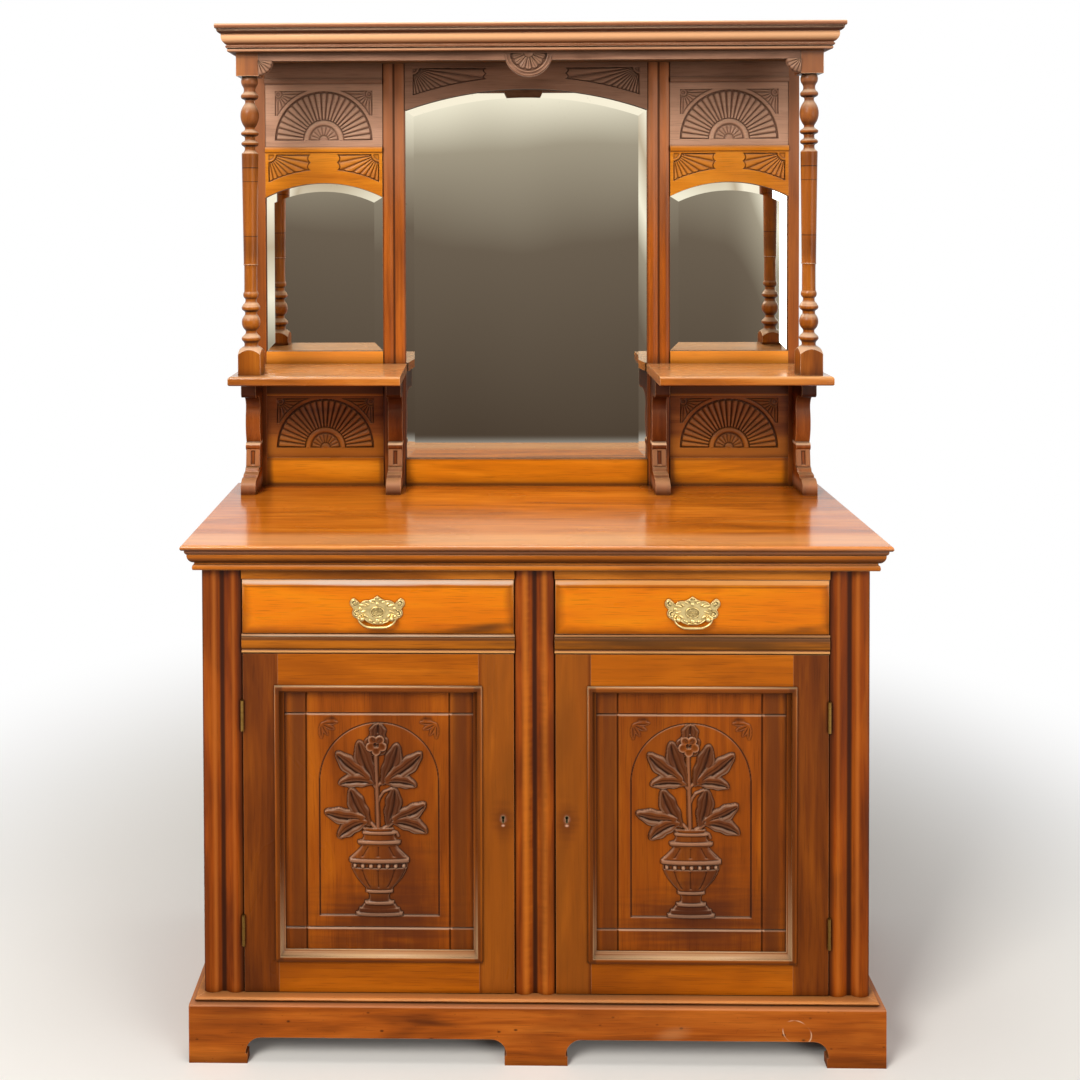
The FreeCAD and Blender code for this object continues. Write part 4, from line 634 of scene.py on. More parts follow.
@dataclass
class CarvedBoard:
    """A board whose face is carved by a relief, drawn out of one fine grid.

    The grid and the depths are in metres. The relief is in millimetres round the middle, as a height over
    the face with its shares of carved colour and of pale colour, partly wear and partly painted highlight.
    """

    name: str
    body: str
    slot: str
    columns: Sequence[float]
    rows: Sequence[float]
    face: float
    back: float
    relief: Shape
    warp: Optional[Callable[[Field, Field], tuple[Field, Field]]] = None
    node: str = ""
    middle: float = 0.0
    crease: float = 62.0
    sharp: float = 0.42 * MM

    def painted(self, height: Field, stain: Field, pale: Field) -> dict[str, Field]:
        """The shares painted on the points: carved colour; pale crests, partly wear and partly painted highlight (most
        where they face down); and hollows, darkened as grime and painted shade.
        """
        edge = (height - softened(height, 2)) / self.sharp
        # Crests paler where they face down: painted highlight.
        low_side = np.clip(0.30 + 1.1 * np.gradient(height, axis=1) / MM, 0.18, 1.3)
        crest = np.clip(edge, 0.0, 1.0) * (0.08 + 0.40 * np.clip(stain, 0.0, 1.0)) * low_side
        return {"stain": stain, "crest": np.maximum(crest, pale),
                # Darker hollows: grime and painted shade.
                "hollow": np.clip(-edge, 0.0, 1.0) * (1.0 - np.clip(pale, 0.0, 1.0))}

    def build(self, material: Material) -> Object:
        """Carves the board, and puts it in place of its node where it has one.

        Args:
            material: the board's finish.

        Returns:
            The new piece.
        """
        across, along = np.meshgrid(np.array(self.columns), np.array(self.rows), indexing="ij")
        if self.warp is not None:
            across, along = self.warp(across, along)
        height, stain, pale = self.relief(across / MM - self.middle, along / MM)
        height = height * MM
        painted = self.painted(height, stain, pale)
        bm = bmesh.new()
        layers = {name: bm.verts.layers.float.new(name) for name in painted}
        wide, tall = len(self.columns) - 1, len(self.rows) - 1
        bmesh.ops.create_grid(bm, x_segments=wide, y_segments=tall, size=0.5)
        for vert in bm.verts:
            i, j = round((vert.co.x + 0.5) * wide), round((vert.co.y + 0.5) * tall)
            vert.co = (across[i, j], self.face - height[i, j], along[i, j])
            for name, layer in layers.items():
                vert[layer] = float(painted[name][i, j])
        rim = [edge for edge in bm.edges if edge.is_boundary]
        skirt = bmesh.ops.extrude_edge_only(bm, edges=rim)["geom"]
        for item in skirt:
            if isinstance(item, BMVert):
                item.co.y = self.back
                for layer in layers.values():
                    item[layer] = 0.0
        bmesh.ops.contextual_create(bm, geom=[item for item in skirt
                                              if isinstance(item, BMEdge) and item.is_boundary])
        piece = settle(bm, self.name, self.body, material, self.crease)
        if self.node:
            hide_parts(self.node)
        return piece


# ---------------------------------------------------------------- reliefs

@dataclass(frozen=True)
class Leaf:
    """A rounded leaf between two points, with a deep hollow along it and a thin pale lower rim of painted highlight.
    """

    base: tuple[float, float]
    tip: tuple[float, float]
    half: float
    bend: float = 0.0
    tone: float = 0.80
    lift: float = 5.2

    def carve(self, x: Field, z: Field) -> Relief:
        """The leaf's height over the ground, its stain and its pale rim of painted highlight.

        Args:
            x, z: the points, in millimetres from the carving's middle.

        Returns:
            The height in millimetres, the share of carved colour, and the share of pale colour, which is painted
            highlight.
        """
        way = np.array(self.tip) - np.array(self.base)
        length = float(np.hypot(*way))
        way = way / length
        along = ((x - self.base[0]) * way[0] + (z - self.base[1]) * way[1]) / length
        off = -(x - self.base[0]) * way[1] + (z - self.base[1]) * way[0]
        inside = np.clip(along, 0.0, 1.0)
        off = off - self.bend * 4.0 * inside * (1.0 - inside)
        lobed = 1.0 + 0.07 * np.cos(6.0 * np.pi * inside)
        half = np.maximum(self.half * np.sin(np.pi * inside ** 1.12) ** 0.56 * lobed, 1e-3)
        share = off / half
        wall = np.clip((1.0 - np.abs(share)) * half / 1.1, 0.0, 1.0) * ((along > 0.0) & (along < 1.0))
        lower = -way[0] * 0.30
        fade = smooth_step(0.08, 0.30, inside) * smooth_step(1.0, 0.82, inside)
        dip = np.exp(-((share - lower) / 0.30) ** 2) * fade
        veins = (0.5 + 0.5 * np.cos((share - lower) * 11.0)) ** 2 * fade
        body = 0.64 + 0.36 * np.sqrt(np.clip(1.0 - share ** 2, 0.0, 1.0))
        height = self.lift * wall * (body - 0.62 * dip - 0.13 * veins)
        # A pale rim on the leaf's lower side: painted highlight.
        rim = smooth_step(0.62, 0.84, share * np.sign(lower or 1.0)) * abs(way[0]) * (1.0 - dip)
        # More carved colour in the hollow and the veins: painted shade.
        stain = wall * np.clip(self.tone + 0.35 * dip + 0.2 * veins, 0.0, 1.0)
        return height, stain, 0.75 * wall * rim


@dataclass(frozen=True)
class Stem:
    """A round stem that follows a run of points."""

    points: tuple[tuple[float, float], ...]
    half: float = 2.4
    lift: float = 3.0

    def carve(self, x: Field, z: Field) -> Relief:
        """The stem's height over the ground, its stain and its pale crest, partly wear and partly painted highlight.
        """
        near = np.full(x.shape, 1e3)
        for (x0, z0), (x1, z1) in zip(self.points, self.points[1:]):
            length = math.hypot(x1 - x0, z1 - z0)
            share = np.clip(((x - x0) * (x1 - x0) + (z - z0) * (z1 - z0)) / length ** 2, 0.0, 1.0)
            near = np.minimum(near, np.hypot(x - x0 - share * (x1 - x0), z - z0 - share * (z1 - z0)))
        section = dome(near, self.half)
        return self.lift * section, 0.5 * np.clip(section * 2.0, 0.0, 1.0), 0.35 * section


@dataclass(frozen=True)
class Flower:
    """An open flower: five cupped petals round a hollow eye, on a ring of dark sepals."""

    centre: tuple[float, float]
    radius: float = 20.5

    def carve(self, x: Field, z: Field) -> Relief:
        """The flower's height over the ground, its stain and its pale petal rims."""
        dx, dz = x - self.centre[0], z - self.centre[1]
        away, angle = np.hypot(dx, dz), np.arctan2(dz, dx)
        reach = self.radius * (1.02 + 0.08 * np.cos(5.0 * (angle - 0.4)))
        base = np.clip((reach - away) / 1.2, 0.0, 1.0)
        height, stain = 3.0 * base * (0.7 + 0.3 * dome(away, reach)), base * 0.95
        pale = np.zeros(x.shape)
        for turn in np.arange(5) * 2.0 * np.pi / 5.0 + 0.95:
            spread = np.hypot(dx - 0.55 * self.radius * np.cos(turn), dz - 0.55 * self.radius * np.sin(turn))
            share = spread / (0.42 * self.radius)
            wall = np.clip((1.0 - share) * 6.0, 0.0, 1.0)
            cup = (3.4 + 2.0 * np.clip(share, 0.0, 1.0) ** 2) * wall
            front = cup > height
            height = np.where(front, cup, height)
            stain = np.where(front, 0.62 - 0.35 * np.clip(share, 0.0, 1.0), stain)
            outer = smooth_step(0.45, 0.75, away / self.radius)
            pale = np.where(front, 0.85 * smooth_step(0.45, 0.85, share) * wall * outer, pale)
        eye = dome(away, 0.26 * self.radius)
        return height - 3.2 * eye, np.maximum(stain, eye), pale * (1.0 - eye)


@dataclass(frozen=True)
class Urn:
    """A half-round urn with a beaded band, gadroons on the bowl, and a stepped foot."""

    levels: tuple[float, ...] = (243.5, 250.0, 250.6, 257.5, 258.1, 264.0, 264.6, 269.5, 270.5, 273.0, 279.0,
                                 284.5, 286.0, 290.5, 293.0, 302.0, 312.0, 322.0, 329.0, 330.0, 337.5, 338.5,
                                 340.0, 346.5, 348.5, 356.0, 364.0, 370.0, 371.0, 374.0, 378.0, 379.5, 384.0,
                                 389.0, 391.0, 394.5, 396.0, 399.5, 401.5)
    halves: tuple[float, ...] = (42.0, 42.0, 38.0, 36.0, 32.0, 28.0, 26.5, 26.5, 20.0, 18.0, 17.5,
                                 19.5, 24.5, 24.5, 24.0, 33.0, 41.0, 46.5, 49.0, 50.5, 50.5, 49.0,
                                 53.5, 53.5, 51.0, 43.0, 35.0, 30.5, 36.0, 38.5, 38.5, 31.0, 28.0,
                                 27.0, 30.0, 30.0, 24.5, 26.5, 24.0)
    rings: tuple[tuple[float, float, float], ...] = ((343.2, 3.4, 2.0), (376.0, 3.0, 1.8), (392.7, 2.6, 1.4),
                                                     (288.2, 2.6, 1.6), (267.0, 2.6, 1.4), (247.0, 3.0, 1.2))
    swell: float = 5.0
    bead_spacing: float = 14.6
    bead_level: float = 333.6

    def carve(self, x: Field, z: Field) -> Relief:
        """The urn's height over the ground, its stain, and its pale rings, beads and outline."""
        half = np.interp(z, self.levels, self.halves)
        tall = (z > self.levels[0]) & (z < self.levels[-1])
        wall = np.clip((half - np.abs(x)) / 1.2, 0.0, 1.0) * tall
        turn = np.arcsin(np.clip(x / half, -1.0, 1.0))
        height = 1.4 + self.swell * (half / 53.5) ** 0.45 * np.clip(1.0 - (x / half) ** 2, 0.0, 1.0) ** 0.5
        bowl = smooth_step(293.5, 297.0, z) * smooth_step(329.0, 325.0, z)
        neck = smooth_step(349.5, 352.0, z) * smooth_step(370.0, 367.0, z)
        lines = (1.0 - np.abs(np.sin(turn * 5.0 + 0.2))) ** 2.2
        height = height - 1.8 * bowl * lines - 1.3 * neck * lines
        pale = np.zeros(x.shape)
        for centre, size, lift in self.rings:
            ring = dome(z - centre, size)
            height = height + lift * ring
            pale = np.maximum(pale, 0.55 * smooth_step(0.75, 1.0, ring) * (np.abs(x) < half - 1.0))
        across = (x / self.bead_spacing - np.round(x / self.bead_spacing)) * self.bead_spacing
        bead = np.hypot(across, z - self.bead_level)
        groove = ((z > 329.6) & (z < 338.2)) * 1.0
        height = height - 1.8 * groove + 3.6 * dome(bead, 3.6) * (np.abs(x) < 46.0)
        pale = np.maximum(pale, 0.95 * smooth_step(3.6, 2.4, bead) * (np.abs(x) < 46.0))
        outline = smooth_step(2.6, 1.2, half - np.abs(x)) * wall
        return (np.maximum(height, 0.6) * wall, wall * (0.62 + 0.35 * groove * (bead > 3.4)),
                np.maximum(pale * wall, 0.30 * outline))


def ribbed(phase: Field, power: float = 3.0) -> Field:
    """A flat-topped rib over each whole step of phase, with a thin valley between two."""
    return np.clip(1.0 - np.abs(2.0 * (phase % 1.0) - 1.0) ** power, 0.0, 1.0)


def fan(x: Field, z: Field, radius: float, hub: float, ribs: int) -> Relief:
    """A half-round fan sunk in its panel, with a ringed hub and leaves in the two upper corners.

    Args:
        x, z: the points in millimetres from the fan's centre.
        radius: the radius of the sunk half round.
        hub: the hub's radius.
        ribs: how many ribs the fan has.

    Returns:
        The height over the panel's face in millimetres, and the shares of carved colour and of pale colour, partly
        wear and partly painted highlight.
    """
    away, angle = np.hypot(x, z), np.arctan2(np.maximum(z, 0.0), x) / np.pi
    upper = z > 0.0
    height, stain, pale = np.zeros(x.shape), np.zeros(x.shape), np.zeros(x.shape)
    crown = ribbed(angle * ribs, 2.6)
    end = radius - 7.5 + 3.4 * np.sqrt(crown)
    rib = crown * smooth_step(end + 0.9, end - 0.9, away) * smooth_step(hub + 0.4, hub + 2.4, away)
    sunk = smooth_step(radius + 0.5, radius - 1.2, away) * upper
    height = np.where(upper & (away < radius + 0.5), (-4.4 + 4.0 * rib) * sunk, height)
    stain = np.where(upper & (away < radius), 0.75 - 0.6 * rib, stain)
    pale = np.where(upper & (away < radius), 0.35 * smooth_step(0.72, 1.0, rib), pale)
    ring = dome(away - (hub - 5.4), 5.4)
    inner = ribbed(angle * 9.0, 2.0) * smooth_step(hub - 13.0, hub - 15.0, away) * smooth_step(10.5, 12.5, away)
    core = -3.0 + 4.0 * ring + 2.6 * inner + 3.4 * dome(away, 8.8)
    in_hub = upper & (away < hub + 0.6)
    height = np.where(in_hub, core, height)
    stain = np.where(in_hub, np.where(away < hub - 10.8, 0.5, 0.1), stain)
    pale = np.where(in_hub, 0.30 * smooth_step(0.6, 1.0, ring) + 0.25 * inner, pale)
    corner_x, corner_z = 96.0, 97.0
    from_corner = np.hypot(np.abs(x) - corner_x, z - corner_z)
    sweep = (np.arctan2(corner_z - z, corner_x - np.abs(x)) / (np.pi / 2))
    limit = np.minimum(np.minimum(103.0 - np.abs(x), 104.5 - z), away - radius - 6.0)
    region = smooth_step(0.0, 1.4, limit) * (z > 52.0)
    lobe = ribbed(sweep * 5.0, 2.2) * smooth_step(1.0, 4.0, limit) * smooth_step(8.5, 11.0, from_corner)
    drilled = 1.8 * dome(from_corner - 5.6, 1.9)
    height = np.where(region > 0.0, region * (-2.8 + 2.8 * lobe + drilled), height)
    stain = np.where(region > 0.0, region * (0.7 - 0.5 * lobe), stain)
    return height, stain, pale


def quarter_fan(across: Field, z: Field, foot: Field, outer: float, inner: float,
                top: float, margin: float, hub: float, ribs: int) -> Relief:
    """A fan that opens from the upper outer corner of an arched rail, with a braced inner end.

    Args:
        across: the distance from the rail's middle, in millimetres.
        z: the level in millimetres.
        foot: the arch's level under each point.
        outer, inner: the distances between which the fan lies.
        top: the fan's upper level.
        margin: the plain width that is left over the arch.
        hub: the radius of its quarter-round hub.
        ribs: how many ribs it has.

    Returns:
        The height over the face in millimetres, and the shares of carved colour and of pale colour, partly wear and
        partly painted highlight.
    """
    rise = np.clip((z - foot - margin) / np.maximum(top - foot - margin, 1.0), 0.0, 1.0)
    brace = inner + 5.0 * np.abs(np.sin(2.0 * np.pi * rise)) * smooth_step(0.0, 12.0, top - foot - margin)
    limit = np.minimum(np.minimum(outer - across, across - brace), np.minimum(top - z, z - foot - margin))
    away = np.hypot(outer - across, top - z)
    sweep = np.arctan2(top - z, outer - across) / (np.pi / 2)
    crown = ribbed(sweep * ribs, 2.6)
    notch = 1.0 + 3.0 * (1.0 - crown)
    rib = crown * smooth_step(notch, notch + 2.0, limit) * smooth_step(hub + 0.5, hub + 2.5, away)
    region = smooth_step(0.0, 1.3, limit)
    height = region * (-3.2 + 3.0 * rib)
    in_hub = (away < hub) & (limit > 0.0)
    rim = dome(away - (hub - 2.4), 2.4)
    height = np.where(in_hub, region * (-2.0 + 2.2 * rim), height)
    stain = region * np.where(in_hub, 0.35, 0.75 - 0.62 * rib)
    return height, stain, 0.22 * region * smooth_step(0.7, 1.0, rib)


def sprung(away: Field, half: float, spring: float, rise: float) -> Field:
    """The level of a segmental arch at a distance from its middle, in millimetres."""
    radius = (half ** 2 + rise ** 2) / (2.0 * rise)
    return spring + rise - radius + np.sqrt(np.maximum(radius ** 2 - away ** 2, 0.0))


@dataclass
class ArchedRail:
    """A rail over a mirror: its foot is an arch, and a fan opens from each of its upper corners."""

    name: str
    node: str
    middle: float
    half: float
    spring: float
    rise: float
    base: float
    crown: float
    fans: tuple[float, float, float, float, float, int]
    bead: tuple[float, float] = (1625.0, 6.0)

    def foot(self, x: Field) -> Field:
        """The arch's level at a distance from the rail's middle, in millimetres."""
        return sprung(np.abs(x), self.half, self.spring, self.rise)

    def warp(self, x: Field, z: Field) -> tuple[Field, Field]:
        """Draws the rows under the crown up into the arch."""
        foot, base, crown = self.foot(x / MM - self.middle) * MM, self.base * MM, self.crown * MM
        return x, np.where(z <= crown, foot + (z - base) / (crown - base) * (crown - foot), z)

    def relief(self, x: Field, z: Field) -> Relief:
        """Two quarter fans with a plain middle, and a bead over the crown where the rail goes on."""
        height, stain, pale = quarter_fan(np.abs(x), z, self.foot(x), *self.fans)
        under, over = z < self.crown, z > self.crown + 0.01
        level, half = self.bead
        bead = 3.5 * (0.3 + 0.7 * dome(z - level, half)) * over
        # The bead's upper half is pale: painted highlight.
        return height * under + bead, stain * under, np.where(over, 0.55 * smooth_step(level, level + 4.0, z), pale)

    def build(self, columns: Sequence[float], rows: Sequence[float], face: float, finish: Material) -> None:
        """Carves the rail.

        Args:
            columns, rows: the grid, in millimetres round the rail's middle and from the floor.
            face: where its front is, in metres.
            finish: its finish.
        """
        CarvedBoard(self.name, "carcass", "rail_wood", metres(columns, self.middle), metres(rows), face,
                    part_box(self.node)[1].y, self.relief, self.warp, self.node, self.middle).build(finish)


@dataclass
class GalleryCarving:
    """The four fan panels and the three arched rails of the gallery."""

    side_middle: float = 425.5
    side_half: float = 123.5
    panel_face: float = 205 * MM
    frame_face: float = 203 * MM
    fan_radius: float = 103.0
    fan_hub: float = 42.0
    fan_ribs: int = 23
    step: float = 0.85

    def build(self, upper: Material, lower: Material, rail: Material, centre: Material) -> None:
        """Carves all seven boards.

        Args:
            upper: the finish of the upper fan panels.
            lower: the finish of the lower fan panels.
            rail: the finish of the side rails.
            centre: the finish of the centre rail.
        """
        back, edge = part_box("fan_panels")[1].y, self.side_half
        for side, sign in SIDES:
            middle = sign * self.side_middle
            for place, base, top, level, finish in (("lower", 975.0, 1106.0, 996.0, lower),
                                                    ("upper", 1631.0, 1763.0, 1645.0, upper)):
                def relief(x: Field, z: Field, level: float = level) -> Relief:
                    """The fan round its own centre."""
                    return fan(x, z - level, self.fan_radius, self.fan_hub, self.fan_ribs)

                CarvedBoard(f"fan_board_{place}_{side}", "carcass", "carved_wood",
                            metres(spaced((-edge, edge, self.step)), middle), metres(spaced((base, top, self.step))),
                            self.panel_face, back, relief, node="fan_panels", middle=middle).build(finish)
            ArchedRail(f"arch_rail_{side}", "side_arch_rails", middle, edge, 1525.0, 30.0, 1540.0, 1619.0,
                       (117.0, 27.7, 1615.5, 28.0, 17.0, 8)).build(
                spaced((-edge, edge, 0.95)), spaced((1540.0, 1619.0, 0.95), (1619.0, 1619.1, 0.1),
                                                    (1619.1, 1631.0, 0.9)), self.frame_face, rail)
        ArchedRail("arch_rail_centre", "centre_arch_rail", 0.0, 254.0, 1707.0, 44.0, 1740.0, 1806.0,
                   (238.0, 82.0, 1796.0, 25.0, 14.0, 11)).build(
            spaced((-254.0, -242.0, 4.0), (-242.0, -78.0, 1.1), (-78.0, 78.0, 4.0), (78.0, 242.0, 1.1),
                   (242.0, 254.0, 4.0)), spaced((1740.0, 1806.0, 0.75)), self.frame_face, centre)


@dataclass
class ApronCarving:
    """The half rosette of the apron's pendant, its raised rim, and a ribbed leaf at each end."""

    centre: float = 1804.0
    pocket: float = 36.0
    rim: float = 41.5
    floor: float = 38.0
    end: float = 527.5
    end_level: float = 1790.0
    end_radius: float = 27.0
    face: float = 34.0
    button: float = 10.5
    petals: float = 7.0

    def rosette(self, x: Field, z: Field) -> Relief:
        """Veined petals round a half button."""
        away, sweep = np.hypot(x, self.centre - z), np.arctan2(self.centre - z, x) / np.pi
        petal = ribbed(sweep * self.petals, 2.0)
        reach = self.pocket - 5.5 + 3.4 * petal
        leaf = petal ** 0.6 * smooth_step(reach, reach - 2.5, away)
        vein = np.exp(-(((sweep * self.petals) % 1.0 - 0.5) / 0.07) ** 2) * smooth_step(12.0, 15.0, away)
        height = 0.6 + 3.0 * leaf * (0.55 + 0.45 * dome(away - 22.0, 16.0)) - 1.3 * vein * leaf
        height = np.where(away < self.button, 1.0 + 3.6 * dome(away, 9.8), height)
        return height, np.where(away < self.button, 0.2, 0.8 - 0.55 * leaf), 0.25 * leaf * (1.0 - vein)

    def end_leaf(self, x: Field, z: Field) -> Relief:
        """A swelling quarter leaf with ribs."""
        across, down = self.end - np.abs(x), self.end_level - z
        away, sweep = np.hypot(across, down), np.arctan2(down, across) / (np.pi / 2)
        rib = ribbed(sweep * 5.0, 2.2)
        height = 5.4 * dome(away - 11.0, 16.8) * (0.58 + 0.42 * rib)
        return height, 0.7 - 0.5 * rib, 0.35 * rib * smooth_step(0.5, 1.0, rib)

    def build(self, finish: Material) -> None:
        """Makes the rosette, its rim and both end leaves."""
        def half_round(turn: Field, reach: Field) -> tuple[Field, Field]:
            """Bends the grid into the lower half of a disc."""
            return reach * np.cos(turn), self.centre * MM - reach * np.sin(turn)

        CarvedBoard("apron_rosette", "carcass", "carved_wood", [math.pi * s for s in spaced((0.012, 0.988, 0.008))],
                    metres(spaced((0.4, self.pocket - 0.2, 0.8))), self.floor * MM, (self.floor + 0.6) * MM,
                    self.rosette, half_round).build(finish)
        for side, sign in SIDES:
            def quarter(turn: Field, reach: Field, sign: float = sign) -> tuple[Field, Field]:
                """Bends the grid into a quarter disc beside the column's block."""
                return sign * (self.end * MM - reach * np.cos(turn)), self.end_level * MM - reach * np.sin(turn)

            CarvedBoard(f"apron_leaf_{side}", "carcass", "carved_wood",
                        [math.pi * s for s in spaced((0.002, 0.498, 0.012))],
                        metres(spaced((0.4, self.end_radius, 0.9))), self.face * MM, (self.face + 11.0) * MM,
                        self.end_leaf, quarter).build(finish)
        bm = bmesh.new()
        for radius, thick in ((self.rim + 2.6, 1.7), (self.rim - 3.4, 1.5)):
            low = (self.centre - 1801.0) / radius
            turns = [math.asin(low) + (math.pi - 2 * math.asin(low)) * i / 48 for i in range(49)]
            bar_along(bm, [(radius * MM * math.cos(t), self.face * MM, (self.centre - radius * math.sin(t)) * MM)
                           for t in turns], thick * MM)
        settle(bm, "apron_rim", "carcass", finish, 60.0)


@dataclass
class BracketFlutes:
    """The fluted faces under the ledges of the four shelf brackets."""

    centres: tuple[float, ...] = (-573.0, -275.0, 275.0, 573.0)
    half: float = 14.4
    levels: tuple[float, float] = (954.0, 1001.0)

    def forward(self, level: Field) -> Field:
        """How far the face stands forward at a level, in millimetres: two steps, then a long slope."""
        return np.interp(level, (954.0, 961.5, 962.5, 1001.0), (39.0, 35.6, 31.0, 26.6))

    def relief(self, x: Field, z: Field) -> Relief:
        """One narrow flute between pale sides: painted highlight above the lower step."""
        across = np.abs(x)
        inner = np.minimum(4.4 - across, np.minimum(z - 966.5, 995.5 - z))
        sunk = smooth_step(-0.9, 1.3, inner)
        round_off = 1.4 * smooth_step(self.half - 2.2, self.half, across)
        return (self.forward(z) - round_off - 2.4 * sunk, 0.4 * sunk,
                0.45 * (1.0 - sunk) * smooth_step(962.0, 968.0, z))

    def build(self, finish: Material) -> None:
        """Makes one fluted face for each bracket."""
        for index, centre in enumerate(self.centres):
            CarvedBoard(f"bracket_flute_{index + 1}", "carcass", "upright_wood",
                        metres(spaced((-self.half, self.half, 0.8)), centre), metres(spaced((*self.levels, 0.8))),
                        203.0 * MM, 190.0 * MM, self.relief, middle=centre).build(finish)


@dataclass
class DoorCarving:
    """The grooved door panel with an arched line, and an urn of leaves with a flower."""

    middle: float = 276.375
    face: float = -184.0
    groove_half: float = 2.4
    groove_depth: float = 2.3
    arch_half: float = 106.0
    arch_spring: float = 483.0
    arch_base: float = 243.5
    bars: tuple[float, float] = (-129.4, 125.4)
    levels: tuple[float, float] = (221.2, 605.3)
    leaves: tuple[Leaf, ...] = (
        Leaf((-6.0, 478.0), (-36.0, 557.0), 16.5, 4.0, 1.0, 4.4),
        Leaf((5.0, 478.0), (33.0, 552.0), 16.0, -4.0, 1.0, 4.4),
        Leaf((-3.0, 552.0), (-1.0, 589.0), 15.0, 0.0, 0.9, 4.6),
        Leaf((-14.0, 490.0), (-76.0, 536.0), 15.0, 5.0), Leaf((-8.0, 482.0), (-72.0, 480.5), 13.0, -5.0),
        Leaf((9.0, 487.0), (76.0, 536.0), 15.0, -5.0), Leaf((9.0, 483.0), (67.0, 477.0), 12.5, 5.0),
        Leaf((-16.0, 405.0), (-51.0, 472.0), 15.5, 4.0, 1.0, 4.4),
        Leaf((14.0, 406.0), (27.5, 473.0), 15.0, -4.0, 1.0, 4.4),
        Leaf((-24.0, 421.0), (-97.0, 430.0), 14.5, 5.0), Leaf((-20.0, 414.0), (-74.0, 384.0), 14.5, -5.0),
        Leaf((22.0, 418.0), (83.0, 445.0), 14.0, -5.0), Leaf((22.0, 413.0), (86.0, 394.0), 14.0, 5.0))
    stems: tuple[Stem, ...] = (
        Stem(((-2.0, 400.0), (-3.0, 440.0), (-4.0, 480.0), (-5.5, 530.0)), 3.6, 4.6),
        Stem(((-6.0, 400.0), (-13.0, 407.0), (-26.0, 418.0), (-44.0, 430.0)), 3.0, 3.4),
        Stem(((8.0, 400.0), (18.0, 405.0), (31.0, 416.0), (44.0, 424.0)), 3.0, 3.4),
        Stem(((-2.0, 446.0), (2.0, 456.0), (8.0, 465.0), (22.0, 471.0)), 2.2, 3.0),
        Stem(((-4.0, 470.0), (-12.0, 482.0), (-26.0, 494.0)), 2.6, 3.4),
        Stem(((-4.0, 474.0), (4.0, 482.0), (16.0, 490.0)), 2.6, 3.4))
    curls: tuple[Stem, ...] = (
        Stem(((-25.0, 398.0), (-31.0, 403.0), (-37.0, 399.0)), 2.2, 2.6),
        Stem(((14.0, 391.0), (22.0, 396.0), (31.0, 392.0), (34.0, 386.0)), 2.4, 2.8))
    sprigs: tuple[Leaf, ...] = field(default_factory=lambda: tuple(
        Leaf((side * 103.0, 588.0), (side * tip_x, tip_z), 4.5, 0.0, 0.12, 1.1)
        for side in BOTH
        for tip_x, tip_z in ((72.0, 590.0), (78.0, 577.0), (90.0, 566.0), (102.0, 560.0))))

    def relief(self, x: Field, z: Field) -> Relief:
        """Grooves, arched line and carving, in millimetres round the panel's middle.

        Args:
            x, z: the points in millimetres.

        Returns:
            The height over the face, and the shares of carved colour and of pale colour, partly wear and partly
            painted highlight.
        """
        grooves, pale = np.zeros(x.shape), np.zeros(x.shape)
        for bar in self.bars:
            grooves = np.maximum(grooves, 1.0 - np.abs(x - bar) / self.groove_half)
        for level in self.levels:
            groove = 1.0 - np.abs(z - level) / self.groove_half
            grooves = np.maximum(grooves, groove)
            # A pale line on the lower flank of each level groove: painted highlight.
            pale = np.maximum(pale, 0.8 * ((z < level - 0.6) & (z > level - 3.0)) * (np.abs(x) < 130.0))
        height = -self.groove_depth * np.clip(grooves, 0.0, 1.0)
        over = z > self.arch_spring
        radial = np.where(over, np.hypot(x, z - self.arch_spring), np.abs(x))
        inside = np.minimum(self.arch_half - radial, z - self.arch_base)
        line = np.clip(1.0 - np.abs(inside) / 1.8, 0.0, 1.0)
        height = height - 1.1 * smooth_step(-1.2, 1.2, inside) - 1.5 * line
        stain = np.maximum(np.clip(grooves, 0.0, 1.0) * 0.4, 0.9 * line)
        rising = smooth_step(0.35, 0.9, np.where(over, (z - self.arch_spring) / np.maximum(radial, 1.0), 0.0))
        foot_line = (np.abs(z - self.arch_base) < 2.0) & (np.abs(x) < self.arch_half)
        # A pale line along the arched line, strongest at its foot and where it rises: painted highlight.
        pale = np.maximum(pale, np.clip(1.0 - np.abs(inside - 1.6) / 1.2, 0.0, 1.0)
                          * np.where(foot_line, 0.7, 0.45 * rising))
        lifted = np.zeros(x.shape)
        for shape in (*self.stems, *self.leaves, Flower((-4.5, 550.0)), Urn(), *self.curls, *self.sprigs):
            rise, share, rub = shape.carve(x, z)
            front = rise > lifted + 0.05
            lifted = np.where(front, rise, lifted)
            stain, pale = np.where(front, share, stain), np.where(front, rub, pale)
        return height + lifted, stain, pale

    def columns(self) -> list[float]:
        """The grid's positions across, finest where the leaves are."""
        return spaced((-134.2, -124.6, 1.2), (-124.6, -110.0, 7.3), (-110.0, -98.0, 1.2), (-98.0, 90.0, 0.94),
                      (90.0, 110.0, 1.2), (110.0, 120.6, 5.3), (120.6, 130.2, 1.2))

    def rows(self) -> list[float]:
        """The grid's positions up, finest where the carving is."""
        return spaced((216.4, 226.0, 1.2), (226.0, 240.0, 7.0), (240.0, 592.5, 0.95), (592.5, 600.5, 4.0),
                      (600.5, 610.1, 1.2))

    def build(self, finish: Material) -> None:
        """Carves both door panels."""
        for side, sign in SIDES:
            node, middle = f"door_panel_{side}", sign * self.middle
            low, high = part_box(node)
            CarvedBoard(f"carved_panel_{side}", f"door_{side}", "panel_wood",
                        [low.x, *metres(self.columns(), middle), high.x], [low.z, *metres(self.rows()), high.z],
                        self.face * MM, high.y, self.relief, node=node, middle=middle).build(finish)


# ---------------------------------------------------------------- ironmongery

